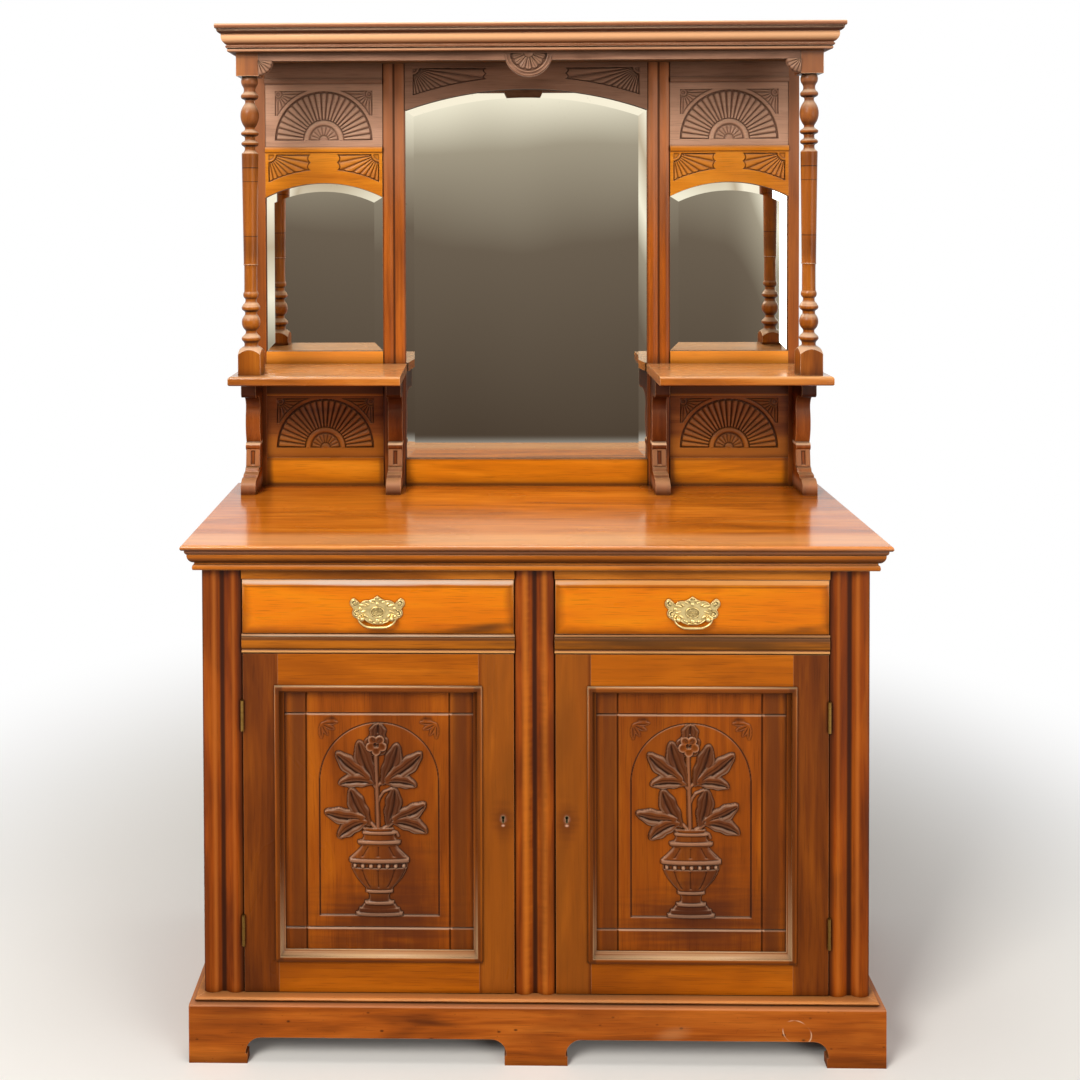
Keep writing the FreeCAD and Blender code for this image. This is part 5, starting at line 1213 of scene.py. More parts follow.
def smooth_run(points: Sequence[Sequence[float]], steps: int) -> list[Vector]:
    """Points along a smooth line through the given ones."""
    knots = [Vector(point) for point in points]
    knots = [2 * knots[0] - knots[1], *knots, 2 * knots[-1] - knots[-2]]
    run: list[Vector] = []
    for a, b, c, d in zip(knots, knots[1:], knots[2:], knots[3:]):
        for index in range(steps):
            t = index / steps
            run.append(0.5 * (2 * b + (c - a) * t + (2 * a - 5 * b + 4 * c - d) * t ** 2
                              + (3 * b - 3 * c + d - a) * t ** 3))
    return run + [knots[-2]]


@dataclass
class PullOrnament:
    """The cast relief on the two drawer pulls, and their bails.

    The plate's own sizes are in millimetres from the middle of the pull, across and up.
    """

    middle: float = 276.375
    level: float = 793.0
    face: float = -198.6
    bail_depth: float = -205.1
    bail_radius: float = 2.1
    scrolls: tuple[tuple[float, float, float, float, float, float], ...] = (
        (39.8, 15.8, 6.8, 1.4, -2.2, 8.6), (36.6, -3.8, 5.8, 1.2, 1.9, -7.4))
    lobes: tuple[tuple[float, float, float, float, float], ...] = (
        (24.5, 10.5, 7.6, 2.8, 0.25), (25.0, -0.5, 6.0, 2.4, -0.35), (17.5, 12.6, 4.8, 2.2, 0.75),
        (19.5, -8.6, 5.6, 2.3, 0.70), (12.0, -16.2, 4.4, 2.2, 0.45), (10.2, 16.4, 4.2, 2.1, 0.45),
        (30.0, 5.0, 3.2, 3.2, 0.0), (44.2, 12.0, 2.6, 3.4, 0.3), (41.0, -6.0, 2.4, 3.0, -0.3),
        (5.0, -20.4, 3.4, 1.8, 0.15), (5.2, 20.6, 2.9, 2.2, 0.6))
    bosses: tuple[tuple[float, float, float, tuple[float, float, float], int], ...] = (
        (39.8, 15.8, 1.6, (2.2, 1.7, 2.2), 8), (36.6, -3.8, 1.6, (1.9, 1.6, 1.9), 8),
        (32.1, -11.0, 0.6, (4.6, 1.5, 4.6), 14))
    oval: tuple[float, float] = (11.8, 8.8)
    seed_field: tuple[float, float] = (9.6, 6.9)
    seed_steps: tuple[float, float] = (2.3, 2.0)
    post: tuple[float, float] = (32.1, 782.0)
    floor: tuple[tuple[float, float], ...] = ((31.2, 777.8), (28.2, 773.8), (23.4, 770.4), (17.6, 767.8),
                                              (11.0, 766.8), (4.0, 766.6))

    def front_loops(self, node: str) -> list[list[Vector]]:
        """The closed outlines of the plate's front face, pierced holes among them."""
        bm = bmesh.new()
        bm.from_mesh(bpy.data.objects[node].data)
        bmesh.ops.remove_doubles(bm, verts=bm.verts[:], dist=1e-6)

        def is_front(face: BMFace) -> bool:
            """Whether a face is part of the plate's front."""
            return face.normal.y < -0.99 and abs(face.calc_center_median().y - self.face * MM) < 2e-5

        left = {edge for edge in bm.edges if len(edge.link_faces) == 2
                and is_front(edge.link_faces[0]) != is_front(edge.link_faces[1])}
        loops: list[list[Vector]] = []
        while left:
            edge = min(left, key=lambda item: item.index)
            left.discard(edge)
            start, spot = edge.verts
            loop = [start.co.copy()]
            while spot is not start:
                loop.append(spot.co.copy())
                following = [item for item in spot.link_edges if item in left]
                if not following:
                    break
                left.discard(following[0])
                spot = following[0].other_vert(spot)
            if len(loop) > 5:
                loops.append(loop)
        bm.free()
        return loops

    def scroll(self, bm: BMesh, middle: float, hand: float,
               numbers: tuple[float, float, float, float, float, float]) -> None:
        """Adds one curling scroll of a wing."""
        across, up, wide, narrow, start, sweep = numbers
        count, points, swell = 30, [], []
        for index in range(count + 1):
            share = index / count
            reach = wide + (narrow - wide) * share
            turn = start + sweep * share
            points.append(((middle + hand * (across + reach * math.cos(turn))) * MM,
                           (self.face - 0.9 - 0.9 * share) * MM, (self.level + up + reach * math.sin(turn)) * MM))
            swell.append(0.75 + 0.5 * math.sin(math.pi * min(share * 1.3, 1.0)) + 0.35 * share)
        bar_along(bm, points, 1.15 * MM, swell=swell)

    def ornament(self, side: str, sign: float, finish: Material) -> None:
        """Adds the relief of one plate."""
        bm, middle = bmesh.new(), sign * self.middle
        for loop in self.front_loops(f"pull_plate_{side}"):
            across = max(point.x for point in loop) - min(point.x for point in loop)
            bar_along(bm, loop, (0.95 if across > 0.02 else 0.45) * MM, closed=True)
        for hand in BOTH:
            for numbers in self.scrolls:
                self.scroll(bm, middle, hand, numbers)
            for across, up, long, thin, tilt in self.lobes:
                pip(bm, (middle + hand * across, self.face - 0.2, self.level + up), (long, 2.0, thin),
                    hand * -tilt, 10)
            for across, up, lift, halves, fine in self.bosses:
                pip(bm, (middle + hand * across, self.face - lift, self.level + up), halves, 0.0, fine)
        ring = [((middle + self.oval[0] * math.cos(t)) * MM, (self.face - 0.9) * MM,
                 (self.level - 1.0 + self.oval[1] * math.sin(t)) * MM) for t in
                [2.0 * math.pi * i / 40 for i in range(40)]]
        bar_along(bm, ring, 1.15 * MM, closed=True)
        for row in range(-3, 4):
            for column in range(-4, 5):
                across, up = (column + 0.5 * (row % 2)) * self.seed_steps[0], row * self.seed_steps[1]
                share = (across / self.seed_field[0]) ** 2 + (up / self.seed_field[1]) ** 2
                if share < 1.0:
                    pip(bm, (middle + across, self.face - 0.7 - 1.5 * (1.0 - share), self.level - 1.0 + up),
                        (1.2, 1.2, 1.1), 0.0, 6)
        for up, wide, tall, lift in ((24.2, 2.6, 3.2, 2.2), (-17.0, 4.4, 4.6, 2.4), (13.6, 3.6, 3.0, 1.9)):
            pip(bm, (middle, self.face - 0.2, self.level + up), (wide, lift, tall), 0.0, 12)
        settle(bm, f"pull_ornament_{side}", f"drawer_{side}", finish, 80.0)

    def bail(self, side: str, sign: float, finish: Material) -> None:
        """Makes one bail: two short arms, rounded corners and a swelling floor."""
        bm, middle = bmesh.new(), sign * self.middle
        half, (reach, post_level) = (self.post, *self.floor), self.post
        line = [(-across, level) for across, level in half] + [(across, level) for across, level in reversed(half)]
        run = smooth_run([((middle + across) * MM, self.bail_depth * MM, level * MM) for across, level in line], 4)
        swell = [0.82 + 0.30 * math.cos((point.x - middle * MM) / (reach * MM) * math.pi / 2) ** 2 for point in run]
        bar_along(bm, run, self.bail_radius * MM, swell=swell)
        for hand in BOTH:
            pip(bm, (middle + hand * reach, self.bail_depth, post_level), (2.3, 2.2, 2.3), 0.0, 12)
            pip(bm, (middle + hand * 16.5, self.bail_depth, 767.4), (1.1, 2.6, 2.6), 0.0, 12)
        piece = settle(bm, f"shaped_bail_{side}", f"bail_{side}", finish, 60.0)
        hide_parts(f"pull_bail_{side}")

    def build(self, finish: Material) -> None:
        """Dresses both pulls."""
        for side, sign in SIDES:
            self.ornament(side, sign, finish)
            self.bail(side, sign, finish)


@dataclass(frozen=True)
class Screw:
    """A slotted wood screw, let in so that only a low head stands up."""

    place: tuple[float, float, float]
    way: tuple[float, float, float]
    radius: float = 2.5
    proud: float = 0.25
    turn: float = 0.5

    def add(self, bm: BMesh) -> None:
        """Adds the two halves of the head, with the slot between them."""
        face = Vector((0.0, 0.0, 1.0)).rotation_difference(Vector(self.way)).to_matrix().to_4x4()
        place = Matrix.Translation((Vector(self.place) + Vector(self.way) * self.proud / 2) * MM)
        made = bmesh.ops.create_cone(bm, cap_ends=True, segments=20, radius1=self.radius * MM,
                                     radius2=self.radius * 0.82 * MM, depth=self.proud * MM,
                                     matrix=place @ face @ Matrix.Rotation(self.turn, 4, "Z"))
        faces = [item for item in {f for v in made["verts"] for f in v.link_faces}
                 if item.normal.dot(Vector(self.way)) > 0.9]
        bmesh.ops.inset_region(bm, faces=faces, thickness=0.25 * self.radius * MM, depth=-0.08 * MM)


@dataclass
class Fixings:
    """The screws of the hinges, and the nails of the drawer boxes and the back."""

    hinge_feet: tuple[float, ...] = (195.0, 579.0)
    screw_steps: tuple[float, ...] = (9.0, 27.0, 45.0)
    screw_depth: float = -187.0
    fixed_face: float = 517.25
    moving_face: float = 516.25
    rail_level: float = 0.422

    def hinge_screws(self, finish: Material) -> None:
        """Three screws in each hinge leaf."""
        for side, sign in SIDES:
            fixed, moving = bmesh.new(), bmesh.new()
            for foot in self.hinge_feet:
                for step in self.screw_steps:
                    Screw((sign * self.fixed_face, self.screw_depth, foot + step), (-sign, 0.0, 0.0),
                          turn=step).add(fixed)
                    Screw((sign * self.moving_face, self.screw_depth, foot + step), (sign, 0.0, 0.0),
                          turn=step + 1.0).add(moving)
            settle(fixed, f"hinge_screws_fixed_{side}", "carcass", finish, 30.0)
            settle(moving, f"hinge_screws_moving_{side}", f"door_{side}", finish, 30.0)

    def drawer_nails(self, finish: Material) -> None:
        """A row of nails down each corner of a drawer box, and along its back."""
        for side, _ in SIDES:
            low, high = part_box(f"drawer_box_{side}")
            bm = bmesh.new()
            for x in (low.x, high.x):
                for y in (low.y + 0.008, high.y - 0.006):
                    for z in (low.z + 0.014, (low.z + high.z) / 2, high.z - 0.014):
                        pip(bm, (x / MM, y / MM, z / MM), (0.25, 1.6, 1.6), 0.0, 8)
            settle(bm, f"drawer_nails_{side}", f"drawer_{side}", finish, 60.0)

    def back_nails(self, finish: Material) -> None:
        """Rows of nails that hold the lower back to its rails and ends."""
        low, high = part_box("carcass_back")
        bm = bmesh.new()
        for z in (low.z + 0.010, self.rail_level, high.z - 0.012):
            for index in range(13):
                x = low.x + 0.012 + (high.x - low.x - 0.024) * index / 12
                pip(bm, (x / MM, high.y / MM, z / MM), (1.9, 0.35, 1.9), 0.0, 8)
        settle(bm, "back_nails", "carcass", finish, 60.0)

    def build(self, brass: Material, steel: Material) -> None:
        """Makes all the fixings."""
        self.hinge_screws(brass)
        self.drawer_nails(steel)
        self.back_nails(steel)


# ---------------------------------------------------------------- dressing the solids

ACROSS, DEEP, UPRIGHT = Grain
# Dark old polish and painted shade, for grooves, quirks, steps and incised lines.
DARK_POLISH_AND_SHADE = tint(46, 19, 8)


def strips(axis: str, *rows: tuple[object, ...]) -> tuple[Strip, ...]:
    """Bands across one axis: each row has a centre, a half width, a softness, a shade and a strength."""
    return tuple(Strip(axis, *row) for row in rows)


# Painted shade in the reeds' grooves and at their edges, partly old polish, and painted highlights down the reeds'
# crests.
REED_LINES = strips("X", (552.75, 4.2, 2.2, DARK_POLISH_AND_SHADE, 0.9), (0.0, 4.2, 2.2, DARK_POLISH_AND_SHADE, 0.9),
                    (519.0, 5.0, 4.0, DARK_POLISH_AND_SHADE, 0.7), (588.0, 2.0, 2.5, DARK_POLISH_AND_SHADE, 0.6),
                    (35.25, 2.0, 2.5, DARK_POLISH_AND_SHADE, 0.6), (532.0, 2.0, 3.0, tint(206, 116, 44), 0.35),
                    (566.0, 2.6, 3.4, tint(206, 116, 44), 0.55), (17.0, 4.0, 4.0, tint(214, 122, 40), 0.6))
# Dark lines of painted shade where the shaft's incised rings would be, darker bands above and below them, and a
# lighter middle band.
COLUMN_LINES = strips("Z", *((level, 1.0, 0.5, DARK_POLISH_AND_SHADE, 0.9) for level in (1582.0, 1555.0, 1447.0)),
                      (1595.5, 13.0, 9.0, tint(84, 38, 14), 0.4), (1425.0, 22.0, 12.0, tint(84, 38, 14), 0.35),
                      (1504.0, 56.0, 20.0, tint(176, 96, 22), 0.4))
# Round each keyhole: a dark handled patch, a grey rim, and a small painted highlight under it.
KEYHOLE_MARKS = tuple(Mark((side * 56.25, level), halves, 0.0, shade, share) for side in BOTH
                      for level, halves, shade, share in ((417.0, (22.0, 42.0), tint(96, 44, 16), 0.6),
                                                          (422.0, (6.5, 9.0), tint(168, 122, 100), 0.75),
                                                          (411.0, (3.6, 2.6), tint(226, 176, 148), 0.9)))
PANEL_MARKS = tuple(Mark((side * 276.0 + across, level), halves, 0.0, tint(90, 42, 20), share) for side in BOTH
                    for across, level, halves, share in ((10.0, 235.0, (150.0, 80.0), 0.85),
                                                         (50.0, 320.0, (60.0, 90.0), 0.5)))


@dataclass(frozen=True)
class Finishes:
    """All woods and metals of the piece."""

    plinth: Wood = Wood(
        "polished_plinth", tint(100, 44, 14), tint(184, 92, 24), tint(218, 122, 40), gloss=0.36, dents=0.8,
        blotch=0.4, returns=True, wear=0.6,
        details=(Mark((455.0, 62.0), (26.0, 20.0), 0.5, tint(236, 196, 158), 0.8, 0.055),
                 Mark((-180.0, 74.0), (60.0, 9.0), 0.1, tint(62, 28, 14), 0.6),
                 Mark((240.0, 58.0), (36.0, 14.0), -0.2, tint(214, 140, 84), 0.5)))
    ends: Wood = Wood("polished_ends", tint(98, 42, 8), tint(156, 74, 12), tint(190, 100, 24), blotch=0.4)
    upright: Wood = Wood(
        "polished_upright", tint(92, 36, 8), tint(160, 72, 12), tint(198, 104, 22), blotch=0.6, figure=0.8,
        # Painted shade on the centre pilaster's right reed and painted highlight on its left reed.
        details=(*REED_LINES, Mark((13.0, 450.0), (9.0, 420.0), 0.0, tint(92, 42, 12), 0.45),
                 Mark((-13.0, 450.0), (8.0, 420.0), 0.0, tint(232, 130, 32), 0.4)))
    frieze: Wood = Wood("polished_frieze", tint(111, 56, 13), tint(187, 104, 24), tint(222, 132, 42))
    rail: Wood = Wood(
        "polished_rail", tint(134, 68, 14), tint(192, 108, 22), tint(226, 136, 38), figure=0.8,
        # Pale top bead (wear and painted highlight), painted shade in the two quirks, painted highlight on the lower
        # bead; a darker right rail; a painted highlight along the left rail's top.
        details=(*strips("Z", (747.5, 2.6, 0.8, tint(160, 116, 74), 0.8), (742.0, 2.6, 1.6, DARK_POLISH_AND_SHADE, 0.8),
                         (724.0, 2.0, 1.2, DARK_POLISH_AND_SHADE, 0.7), (719.0, 1.8, 0.8, tint(236, 176, 108), 0.8)),
                 Mark((276.0, 735.0), (420.0, 17.0), 0.0, tint(80, 50, 22), 0.85),
                 Mark((-276.0, 747.8), (420.0, 3.0), 0.0, tint(216, 186, 156), 0.9)))
    stile: Wood = Wood(
        "door_stile", tint(76, 32, 8), tint(134, 64, 10), tint(174, 92, 18), blotch=0.7, figure=0.85,
        details=(*strips("X", (64.0, 30.0, 3.0, tint(198, 112, 30), 0.33), (490.0, 30.0, 3.0, tint(80, 42, 24), 0.18)),
                 *KEYHOLE_MARKS))
    door_rail: Wood = Wood("door_rail", tint(130, 60, 6), tint(192, 100, 8), tint(220, 124, 22), blotch=0.4,
                           figure=0.7)
    panel: Wood = Wood(
        "door_panel", tint(104, 46, 8), tint(164, 80, 12), tint(200, 108, 18), blotch=0.45, figure=0.7,
        carved=tint(58, 30, 19), wear_and_highlight=tint(208, 164, 132), crest=0.58,
        # Darker low on the panel; painted shade down both flanks beside the moulding.
        details=(*PANEL_MARKS, *strips(
            "X", (106.0, 5.0, 8.0, DARK_POLISH_AND_SHADE, 0.8), (446.5, 5.0, 8.0, DARK_POLISH_AND_SHADE, 0.8),
            (132.0, 14.0, 8.0, tint(92, 46, 18), 0.7), (420.0, 14.0, 8.0, tint(92, 46, 18), 0.7))))
    drawer: Wood = Wood(
        "drawer_front", tint(206, 96, 2), tint(238, 128, 2), tint(246, 148, 8), figure=0.8, blotch=0.15, gloss=0.30,
        coat=0.12, wear_and_highlight=tint(244, 178, 110), wear=0.6, ledge=0.75,
        details=(Rubbing(0.276375, 0.2396, 0.79975, 0.04775, 0.02, tint(140, 70, 8), 0.65),
                 Mark((-86.0, 764.0), (88.0, 12.0), -0.12, tint(92, 50, 8), 0.85),
                 Mark((478.0, 762.0), (60.0, 9.0), -0.1, tint(104, 54, 8), 0.55),
                 # Painted highlight along the top bevel, paler on the left drawer, with a line of painted shade under
                 # it.
                 Strip("Z", 843.4, 3.4, 1.4, tint(242, 168, 96), 0.85),
                 Mark((-276.0, 843.4), (420.0, 5.5), 0.0, tint(232, 208, 192), 0.95),
                 Strip("Z", 835.8, 1.1, 1.2, tint(96, 46, 8), 0.6)))
    slab: Wood = Wood(
        "polished_slab", tint(146, 74, 14), tint(206, 112, 24), tint(232, 142, 44), gloss=0.22, coat=0.72,
        blotch=0.45, returns=True, wear=0.6, wear_and_highlight=tint(240, 200, 140), ledge=0.0,
        # A painted sheen over the slab's front, and painted shade in the edge moulding's quirk.
        details=(Strip("Y", -188.0, 34.0, 22.0, tint(240, 182, 124), 0.42),
                 Strip("Z", 903.0, 8.0, 3.0, tint(94, 36, 4), 0.65)))
    moulding: Wood = Wood(
        "polished_moulding", tint(127, 62, 15), tint(206, 114, 30), tint(232, 144, 50), figure=0.6, returns=True,
        wear=0.8, wear_and_highlight=tint(234, 176, 120), ledge=0.3, shade=0.8)
    door_moulding: Wood = Wood(
        "door_moulding", tint(100, 44, 8), tint(160, 80, 16), tint(196, 110, 32), wear=0.9, wear_and_highlight=tint(238, 200, 152),
        mitre=Mitre(276.375, 183.65, 413.25, 246.25), ledge=0.72, shade=0.6, figure=0.6,
        # Painted shade on the inner side of each upright member, on the top member and on the bottom member.
        details=(*strips("X", (101.5, 5.5, 2.0, tint(70, 34, 12), 0.6), (451.0, 5.5, 2.0, tint(70, 34, 12), 0.6)),
                 *strips("Z", (650.5, 5.5, 2.0, tint(84, 42, 16), 0.45), (170.5, 2.4, 1.2, tint(84, 42, 16), 0.6))))
    gallery: Wood = Wood(
        "gallery_stile", tint(108, 48, 12), tint(182, 94, 22), tint(210, 116, 36),
        smoke=Smoke(tone=tint(200, 144, 106), strength=0.6), blotch=0.4,
        details=(Strip("X", 568.0, 19.0, 5.0, tint(96, 56, 34), 0.42),
                 # Painted shade low on the stiles under the shelf.
                 Strip("Z", 1070.0, 90.0, 14.0, tint(80, 36, 12), 0.55),
                 *strips("X", (278.0, 2.4, 1.0, DARK_POLISH_AND_SHADE, 0.8), (255.5, 1.2, 0.8, DARK_POLISH_AND_SHADE, 0.5),
                         (300.5, 1.2, 0.8, DARK_POLISH_AND_SHADE, 0.6))))
    gallery_rail: Wood = Wood(
        "gallery_rail", tint(178, 94, 14), tint(216, 130, 26), tint(234, 150, 44), blotch=0.35, figure=0.8,
        carved=tint(126, 66, 22), ledge=0.6, cut=0.55,
        # Painted shadow under the shelf, and a lighter band above it.
        details=strips("Z", (1131.0, 24.0, 6.0, tint(72, 37, 18), 0.95), (1196.0, 16.0, 5.0, tint(246, 162, 72), 0.4)))
    top_rail: Wood = Wood(
        "gallery_top_rail", tint(116, 82, 62), tint(160, 118, 94), tint(182, 138, 112), carved=tint(104, 70, 54),
        wear_and_highlight=tint(206, 166, 138), figure=0.7, cut=0.5)
    low_rail: Wood = Wood(
        "gallery_low_rail", tint(164, 86, 8), tint(208, 120, 12), tint(230, 144, 30), blotch=0.45,
        details=(*strips("Z", (918.0, 3.0, 5.0, tint(96, 48, 20), 0.8), (972.0, 2.0, 4.0, tint(110, 56, 22), 0.6),
                         # Painted shade under, and painted highlight on, the bead at the top of the rail.
                         (977.5, 1.6, 1.0, tint(60, 30, 14), 0.85), (982.5, 1.8, 1.2, tint(196, 162, 130), 0.8)),
                 *strips("X", (306.0, 3.0, 6.0, tint(110, 56, 22), 0.6), (545.0, 4.0, 8.0, tint(96, 48, 20), 0.7))))
    fan_upper: Wood = Wood(
        "fan_upper", tint(156, 114, 92), tint(196, 150, 122), tint(216, 170, 144), blotch=0.25, gloss=0.38,
        carved=tint(126, 84, 64), figure=0.6, wear_and_highlight=tint(216, 178, 150), grime_and_shade=0.6, cut=0.5, crest=0.7)
    fan_lower: Wood = Wood(
        "fan_lower", tint(84, 40, 12), tint(122, 64, 22), tint(152, 86, 36), blotch=0.35, gloss=0.36,
        carved=tint(70, 38, 20), wear_and_highlight=tint(176, 116, 70), cut=0.65,
        details=(Strip("Z", 999.0, 20.0, 10.0, tint(186, 112, 30), 0.5),))
    column: Wood = Wood(
        "turned_column", tint(84, 38, 6), tint(150, 78, 12), tint(194, 114, 32),
        smoke=Smoke(1.62, 1.84, tint(176, 124, 92), 0.5), wear=0.9, grime_and_shade=0.98, coat=0.12, wear_and_highlight=tint(246, 208, 172),
        ledge=0.6, shade=0.95, details=COLUMN_LINES)
    cornice: Wood = Wood(
        "polished_cornice", tint(136, 78, 44), tint(182, 112, 70), tint(206, 138, 92), figure=0.5, returns=True,
        wear=0.8, blotch=0.35, wear_and_highlight=tint(236, 194, 158), ledge=0.7, shade=0.5,
        # Bands of painted highlight and painted shade along the profile: bright on the lower cyma, dark under the top
        # fillet and at the foot, pale lines on the top and bottom fillets.
        details=strips("Z", (1831.0, 7.0, 4.0, tint(252, 190, 138), 0.95), (1845.0, 6.0, 3.0, tint(78, 46, 34), 0.84),
                       (1853.0, 2.6, 1.2, tint(124, 80, 58), 0.5), (1814.5, 3.0, 2.0, tint(84, 46, 30), 0.65),
                       (1856.4, 1.4, 1.0, tint(214, 168, 132), 0.6), (1808.6, 1.6, 1.0, tint(222, 172, 134), 0.6)))
    apron: Wood = Wood("cornice_apron", tint(112, 76, 58), tint(164, 120, 96), tint(194, 146, 118), wear=0.7,
                       carved=tint(96, 60, 42), wear_and_highlight=tint(220, 176, 142), cut=0.6)
    shelf: Wood = Wood("display_shelf", tint(142, 76, 20), tint(192, 110, 36), tint(220, 142, 62), gloss=0.26,
                       coat=0.7, returns=True, wear=0.8, wear_and_highlight=tint(244, 196, 142), ledge=0.34)
    bracket: Wood = Wood(
        "shelf_bracket", tint(72, 31, 9), tint(132, 63, 17), tint(174, 94, 35), wear=0.7, carved=tint(112, 56, 28),
        wear_and_highlight=tint(226, 170, 122), crest=0.6, ledge=0.4, shade=0.75,
        details=(Strip("X", 278.0, 18.0, 4.0, tint(60, 28, 13), 0.5), *strips(
            # Painted shadow under the shelf on the head, painted shade lines at the two small steps, and painted
            # highlights on the nib's upper slope and on the foot.
            "Z", (1136.0, 22.0, 8.0, tint(48, 22, 12), 0.85), (1094.0, 18.0, 20.0, tint(70, 28, 8), 0.6),
            (1010.5, 2.6, 1.2, tint(252, 214, 176), 0.85), (961.5, 0.9, 0.7, DARK_POLISH_AND_SHADE, 0.8),
            (952.5, 0.9, 0.9, DARK_POLISH_AND_SHADE, 0.6), (932.0, 9.0, 6.0, tint(222, 166, 126), 0.3))))
    pine: Wood = Wood("inner_pine", tint(148, 104, 58), tint(190, 148, 96), tint(214, 178, 128), gloss=0.55,
                      coat=0.0, blotch=0.2, grime_and_shade=0.5, wear=0.1, wear_and_highlight=tint(220, 190, 150))
    back: Wood = Wood("back_pine", tint(104, 72, 42), tint(146, 108, 70), tint(172, 134, 92), gloss=0.6,
                      coat=0.0, blotch=0.4, grime_and_shade=0.6, wear=0.1, wear_and_highlight=tint(190, 158, 120))
    pull: Brass = Brass("pull_brass")
    hinge: Brass = Brass("hinge_brass", tint(158, 122, 62), tint(84, 58, 24), 0.40, 0.12)
    lock: Brass = Brass("lock_brass", tint(158, 140, 104), tint(70, 54, 30), 0.36, 0.10)
    steel: Steel = Steel("bolt_steel")
    mirror: Silvering = Silvering("mirror_plate")


NODE_FINISHES: tuple[tuple[str, str, Optional[Grain], float], ...] = (
    ("plinth_front", "plinth", ACROSS, 1.0), ("plinth_ends", "plinth", DEEP, 0.8),
    ("plinth_back_rail", "back", ACROSS, 0.4), ("plinth_blocks", "pine", UPRIGHT, 0.4),
    ("base_moulding", "moulding", ACROSS, 0.4), ("carcass_ends", "ends", UPRIGHT, 0.6),
    ("carcass_bottom", "pine", ACROSS, 0.4), ("centre_partition", "pine", UPRIGHT, 0.4),
    ("pilasters", "upright", UPRIGHT, 0.6), ("frieze_rails", "frieze", ACROSS, 0.4),
    ("drawer_rails", "rail", ACROSS, 0.4), ("drawer_runners", "pine", DEEP, 0.4),
    ("cupboard_shelves", "pine", ACROSS, 0.6), ("shelf_bearers", "pine", DEEP, 0.4),
    ("carcass_back", "back", UPRIGHT, 0.4), ("slab_moulding", "moulding", ACROSS, 0.4),
    ("slab", "slab", ACROSS, 0.9), ("hinge_fixed", "hinge", None, 0.2), ("lock_keeps", "lock", None, 0.2),
    ("back_outer_stiles", "gallery", UPRIGHT, 0.6), ("back_inner_stiles", "gallery", UPRIGHT, 0.4),
    ("back_bottom_rails", "low_rail", ACROSS, 0.4), ("back_shelf_rails", "gallery_rail", ACROSS, 0.4),
    ("side_arch_rails", "gallery_rail", ACROSS, 0.0), ("back_top_rails", "top_rail", ACROSS, 0.3),
    ("centre_arch_rail", "gallery_rail", ACROSS, 0.0), ("fan_panels", "fan_upper", ACROSS, 0.0),
    ("centre_mirror", "mirror", None, 0.0), ("side_mirrors", "mirror", None, 0.0),
    ("mirror_backings", "back", UPRIGHT, 0.4), ("display_shelves", "shelf", ACROSS, 0.5),
    ("shelf_brackets", "bracket", UPRIGHT, 0.9), ("columns", "column", UPRIGHT, 0.5),
    ("cornice_moulding", "cornice", ACROSS, 0.5), ("cornice_board", "back", ACROSS, 0.4),
    ("cornice_apron", "apron", ACROSS, 0.8), ("door_stiles", "stile", UPRIGHT, 0.6),
    ("door_rails", "door_rail", ACROSS, 0.5), ("door_panel", "panel", UPRIGHT, 0.0),
    ("door_moulding", "door_moulding", ACROSS, 0.35), ("door_hinge_leaves", "hinge", None, 0.2),
    ("door_lock", "lock", None, 0.2), ("door_bolt", "steel", None, 0.2), ("drawer_front", "drawer", ACROSS, 0.9),
    ("drawer_box", "pine", DEEP, 0.5), ("drawer_bottom", "pine", ACROSS, 0.3), ("pull_plate", "pull", None, 0.0),
    ("pull_bail", "pull", None, 0.0),
)


def modify(item: Object, name: str, kind: str, **settings: object) -> None:
    """Adds a modifier with its settings."""
    modifier = item.modifiers.new(name, kind)
    for key, value in settings.items():
        setattr(modifier, key, value)


class Dressing:
    """Gives each solid of the frame its finish and a softened arris."""

    def __init__(self, nodes: dict[str, Object], finishes: Finishes) -> None:
        """Keeps the nodes and the finishes, and starts an empty store of materials."""
        self.nodes, self.finishes = nodes, finishes
        self.store: dict[tuple[str, Optional[Grain]], Material] = {}

    def material(self, name: str, grain: Optional[Grain] = None) -> Material:
        """A finish's material for one grain, made once; metals and the mirror have no grain."""
        key = (name, grain)
        if key not in self.store:
            finish = getattr(self.finishes, name)
            self.store[key] = finish.make(grain) if grain else finish.make()
        return self.store[key]

    def choice(self, name: str) -> tuple[str, Optional[Grain], float]:
        """The finish, grain and arris width of a node."""
        for start, finish, grain, arris in NODE_FINISHES:
            if name.startswith(start):
                return finish, grain, arris
        raise ValueError(f"no finish for {name}")

    def dress(self) -> None:
        """Dresses every node by the table of its name's start."""
        for name, node in sorted(self.nodes.items()):
            finish, grain, arris = self.choice(name)
            material = self.material(finish, grain)
            node.data.materials.clear()
            node.data.materials.append(material)
            if arris:
                modify(node, "joined", "WELD", merge_threshold=1e-6)
                if name.startswith("drawer_front"):
                    modify(node, "flattened", "DECIMATE", decimate_type="DISSOLVE", angle_limit=math.radians(0.5))
                modify(node, "softened", "BEVEL", width=arris * MM, segments=2, limit_method="ANGLE",
                       angle_limit=math.radians(38), use_clamp_overlap=True)
                modify(node, "evened", "WEIGHTED_NORMAL")
            log.info("node %s: %s", name, material.name)


# ---------------------------------------------------------------- studio

